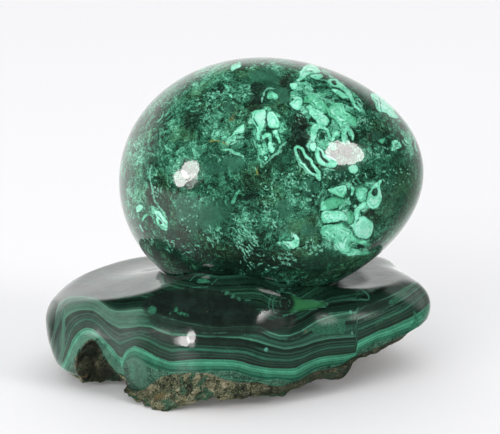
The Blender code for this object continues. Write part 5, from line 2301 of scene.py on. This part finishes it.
def egg_tone(n, egg):
    """How light the mottled stone is under its marks, from 0 to 1, with painted shade along the egg's
    bottom and painted sheen on its rims.
    """
    specks = n.times(n.dots(egg.place, SPECKS, (0.34, 0.14)), n.fade(egg.noise("specks"), 0.42, 0.56))
    worms = n.times(n.lines(egg.noise("worms"), (0.030, 0.008)), n.fade(egg.coarse, 0.44, 0.58))
    pits = n.times(n.dots(egg.place, PITS, (0.20, 0.10)), n.fade(egg.fine, 0.46, 0.56))
    tone = egg.sum(
        0.0,
        (n.centred(egg.coarse), 0.54),
        (n.centred(egg.fine), 0.95),
        (n.centred(egg.grit), 0.70),
        (egg.big_shade, 0.34),
        (egg.shade, 0.36),
        (egg.crumb_shade, 0.42),
        (specks, 0.34),
        (worms, 0.26),
        (n.lines(egg.noise("veins"), (0.020, 0.004)), 0.20),
        (n.lines(egg.noise("dark veins"), (0.026, 0.004)), -0.26),
        (n.fade(egg.chip_edge, 0.06, 0.01), -0.10),
        (n.fade(egg.crumb_edge, 0.10, 0.02), -0.10),
        (pits, -0.40),
    )
    calm = n.math("MINIMUM", n.attribute("calm"), 1.0)
    restless = n.times(n.scaled(calm, -CALM_CLOUD_SHARE, 1.0), TONE_CONTRAST)
    # The drawn clouds: the stone's own tone, painted shade along the bottom and painted sheen on the rims.
    light = n.scaled(n.attribute("light"), TONE_AND_PAINTED_LIGHT_SHARE, TONE_MIDDLE)
    return n.plus(n.times(tone, restless), light)


def egg_ground(n, egg):
    """The mottled stone under the egg's groups of marks, with its soft and its dark stones."""
    tone = egg_tone(n, egg)
    olive = n.times(n.fade(egg.noise("olive"), 0.50, 0.64), 0.34)
    colour = n.mix(olive, n.ramp(tone, EGG_TONES), n.ramp(tone, OLIVE_TONES))
    brown = n.times(n.attribute("brown"), n.fade(egg.coarse, 0.34, 0.62))
    colour = n.mix(brown, colour, EGG_BROWN)
    soft_tone = egg.sum(0.5, (egg.relief, 0.8), (egg.big_shade, 0.5))
    colour = n.lay(colour, "soft", egg.edge, EGG_MARKS["soft"], n.ramp(soft_tone, SOFT_TONES))
    streaks = egg.sum(n.plus(egg.fine, n.centred(egg.coarse)), (egg.crumb_shade, 0.6))
    dark_stone = n.mix(n.fade(streaks, 0.46, 0.74), *EGG_DARK)
    return n.lay(colour, "dark", egg.edge, EGG_MARKS["dark"], dark_stone)


def egg_stones(n, egg, colour, name, middle, outline_strength):
    """Stones of a group: striped shades round a middle tone, with a broken dark line round each."""
    depth = n.attribute(name)
    inside = n.scaled(egg.edge, STONE_EDGE_SHARE, depth)
    broken = n.times(n.fade(egg.noise("outlines"), 0.34, 0.56), outline_strength)
    colour = n.mix(n.times(n.fade(inside, *STONE_OUTLINE), broken), colour, STONE_OUTLINE_GREEN)
    wobble = n.plus(n.centred(egg.coarse), n.centred(egg.ragged))
    striped_parts = n.fade(egg.noise("skin"), 0.45, 0.60)
    stripes = n.times(n.stripes(depth, wobble, *STONE_STRIPES), striped_parts)
    tone = n.plus(egg.chip_tone, middle)
    tone = egg.sum(tone, (egg.borders, -0.16), (stripes, 0.50), (n.fade(depth, *STONE_RIM), 0.24))
    leafy = n.times(n.fade(egg.noise("leaf green"), 0.46, 0.62), LEAF_GREEN_TONE - middle)
    green = n.mix(leafy, n.ramp(tone, MARK_TONES), LEAF_GREEN)
    return n.mix(n.fade(inside, *STONE_FADE), colour, green)


def egg_material():
    """Mottled green with dark, mid-green and pale marks."""
    material, n, shader = polished_stone("mottled_malachite")
    egg = EggPatterns(n)
    bed_tone = n.plus(egg.chip_tone, 0.34)
    bed_tone = egg.sum(bed_tone, (egg.relief, 1.1), (egg.shade, 1.0), (egg.borders, -0.28))
    colour = n.lay(egg_ground(n, egg), "bed", egg.edge, EGG_MARKS["bed"], n.ramp(bed_tone, MARK_TONES))
    for name, (middle, outline_strength) in EGG_STONES.items():
        colour = egg_stones(n, egg, colour, name, middle, outline_strength)
    thread_green = n.mix(n.fade(egg.fine, 0.40, 0.62), *THREAD_GREENS)
    paints = {"thread": thread_green, "crack": EGG_CRACK, "orange": EGG_OCHRE, "gold": EGG_GOLD}
    for name, paint in paints.items():
        colour = n.lay(colour, name, egg.edge, EGG_MARKS[name], paint)
    n.link(colour, shader.inputs["Base Color"])
    n.link(n.scaled(egg.fine, 0.05, 0.01), shader.inputs["Roughness"])
    n.link(n.scaled(n.centred(egg.ragged), -0.5, 0.5), shader.inputs["Specular IOR Level"])
    n.bump(shader, ((egg.noise("skin"), 0.034), (egg.fine, 0.0010)))
    return material


def layer_colour(n, place):
    """Colours of the banded stone by the number of its layer."""
    wavy = n.noise(place, *STAND_NOISES["wavy"])
    layer = n.scaled(n.centred(wavy), 0.10, n.attribute("layer"))
    lower = n.ramp_of_layers(layer, LOWER_TINTS)
    upper = n.ramp_of_layers(layer, UPPER_TINTS)
    colour = n.mix(n.fade(layer, TINTS_MEET - 0.01, TINTS_MEET + 0.01), lower, upper)
    above = n.ramp(n.math("FRACT", n.times(layer, 0.37)), HIGH_TINTS)
    colour = n.mix(n.fade(layer, 6.1, 6.4), colour, above)
    fine_bars = n.scaled(n.fade(layer, *ABOVE_GREEN_LAYER), 2.2, 0.6)
    shade = n.scaled(n.bars(layer, 2.6), 1.8, 1.0)
    return n.brighten(colour, n.scaled(n.bars(layer, 6.0), fine_bars, shade))


def polish_colour(n, place, coarse, fine):
    """The stand's polished stone: its layers with their pools, patches and threads."""
    edge = n.times(n.centred(fine), STAND_EDGE)
    mottle = n.scaled(n.centred(fine), 0.9, n.scaled(n.centred(coarse), 1.4, 1.0))
    colour = n.brighten(layer_colour(n, place), mottle)
    under = n.fade(n.plus(n.attribute("layer"), n.centred(coarse)), 1.35, 0.85)
    lowest = n.ramp(n.scaled(n.centred(fine), 1.6, coarse), LOWEST_TONES)
    colour = n.mix(n.times(under, 0.85), colour, lowest)
    pool_dark = n.mix(n.fade(coarse, 0.40, 0.66), *POOL_DARKS)
    colour = n.lay(colour, "pool", edge, STAND_MARKS["pool"], pool_dark)
    patch_green = n.mix(n.fade(fine, 0.38, 0.62), *PATCH_GREENS)
    colour = n.lay(colour, "mid", edge, STAND_MARKS["mid"], patch_green)
    leaf = n.scaled(edge, 0.5, n.attribute("leaf"))
    colour = n.mix(n.times(n.fade(leaf, -1.8, -0.2), 0.80), colour, LEAF_BORDER)
    leaf_green = n.ramp(n.fade(leaf, -0.4, 3.6), LEAF_TONES)
    colour = n.mix(n.fade(leaf, -0.5, 0.5), colour, leaf_green)
    for name, paint in (("thread", STAND_THREAD), ("pale", STAND_PALE), ("crack", STAND_CRACK)):
        colour = n.lay(colour, name, edge, STAND_MARKS[name], paint)
    return colour, edge


def rock_colour(n, place, fine, crumbly):
    """The stand's broken matrix: olive and brown grains, with veins of green, painted shade deep in the
    arched hollow and a darker right part.
    """
    pits = n.fade(n.noise(place, *STAND_NOISES["pits"]), 0.42, 0.34)
    rock = n.ramp(n.scaled(n.scaled(pits, -0.35, crumbly), 1.1, 0.60), ROCK_TONES)
    green_rock = n.mix(n.fade(fine, 0.35, 0.65), *ROCK_GREENS)
    rock = n.mix(n.fade(n.noise(place, *STAND_NOISES["veins"]), 0.52, 0.60), rock, green_rock)
    # Painted shade darkens the rock deeper in the arched hollow.
    rock = n.mix(n.times(n.fade(n.attribute("cave"), -0.6, 1.0), 0.88), rock, CAVE_PAINTED_SHADE)
    return n.mix(n.times(n.attribute("right rock"), 0.62), rock, RIGHT_ROCK_DARK)


def stand_material():
    """Banded green polish above, and rough olive and brown matrix below."""
    material, n, shader = polished_stone("banded_malachite")
    place = n.stone_place()
    coarse, fine, rough, skin, broad = [
        n.noise(place, *STAND_NOISES[name]) for name in ("coarse", "fine", "rough", "skin", "broad")
    ]
    colour, edge = polish_colour(n, place, coarse, fine)
    matrix = n.plus(n.attribute("matrix"), n.times(n.centred(coarse), 1.4))
    is_matrix = n.fade(matrix, -0.25, 0.35)
    is_polish = n.without(is_matrix)
    grain, grain_edge = n.chips(n.swirled(place, *GRAIN_SWIRL), GRAINS)
    crumbly = n.scaled(grain, 0.45, n.scaled(n.centred(fine), 2.0, n.centred(coarse)))
    colour = n.mix(is_matrix, colour, rock_colour(n, place, fine, crumbly))
    for name, paint in (("orange", STAND_OCHRE_TINT), ("gold", STAND_GOLD_TINT)):
        colour = n.lay(colour, name, edge, STAND_MARKS[name], paint)
    # Painted reflection veil, painted light and painted sheen, laid over the polish's colour.
    veils = (
        ("painted_veil", (0.30, 0.22), PAINTED_VEIL),
        ("painted_light", (0.50, 0.22), PAINTED_LIGHT_GREEN),
        ("painted_sheen", (0.26, 0.02), PAINTED_SHEEN),
    )
    for name, (cloudiness, least), tint in veils:
        amount = n.times(n.attribute(name), n.scaled(coarse, cloudiness, least))
        colour = n.mix(n.times(amount, is_polish), colour, tint)
    n.link(colour, shader.inputs["Base Color"])

    dull = n.times(n.attribute("satin"), is_polish)
    roughness = n.scaled(dull, DULL_ROUGHNESS, n.scaled(fine, 0.06, 0.03))
    n.link(n.scaled(is_matrix, MATRIX_ROUGHNESS, roughness), shader.inputs["Roughness"])
    mirroring = n.scaled(is_matrix, MATRIX_MIRRORING, POLISH_MIRRORING)
    mirroring = n.scaled(dull, DULL_MIRRORING, mirroring)
    mirroring = n.scaled(n.attribute("gloss"), GLOSS_MIRRORING, mirroring)
    n.link(mirroring, shader.inputs["Specular IOR Level"])
    rough_relief = n.times(rough, is_matrix)
    grain_relief = n.times(n.math("MINIMUM", grain_edge, 0.3), is_matrix)
    reliefs = ((rough_relief, 1.1), (grain_relief, 0.5), (skin, 0.025), (broad, 0.16), (fine, 0.003))
    n.bump(shader, reliefs)
    return material


# The pieces


def make_egg():
    """The egg's skin, split finely where a mark has its edge, with the marks on it."""
    mesh = egg_mesh("polished_egg", EGG_GRID)
    for reach in EGG_SPLIT_REACHES:
        refine_egg(mesh, reach)
    for name, values in all_egg_fields(mesh_points(mesh)).items():
        set_attribute(mesh, name, values)
    mesh.materials.append(egg_material())
    mesh.shade_smooth()
    return new_object("polished_egg", mesh)


def make_stand():
    """The stand's skin with its two hollows, its layers and its marks."""
    mesh = stand_mesh("banded_stand")
    cut_at_ground(mesh)
    stand = new_object("banded_stand", mesh)
    cut_out(stand, (egg_mesh("seat", SEAT_GRID, SEAT_GAP), cave_mesh("cave")))
    mesh = stand.data
    normals = np.array([vertex.normal for vertex in mesh.vertices])
    for name, values in stand_fields(mesh_points(mesh), normals).items():
        set_attribute(mesh, name, values)
    mesh.materials.clear()
    mesh.materials.append(stand_material())
    mesh.shade_smooth()
    mesh.set_sharp_from_angle(angle=SHARP_ANGLE)
    return stand


def main():
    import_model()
    bpy.context.scene.view_settings.view_transform = "Standard"
    add_camera()
    add_lights()
    add_world()
    add_floor()
    egg = make_egg()
    stand = make_stand()
    for piece, node, slot in ((egg, "egg", "mottled_malachite"), (stand, "stand", "banded_malachite")):
        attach(piece, "root")
        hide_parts(node)


main()
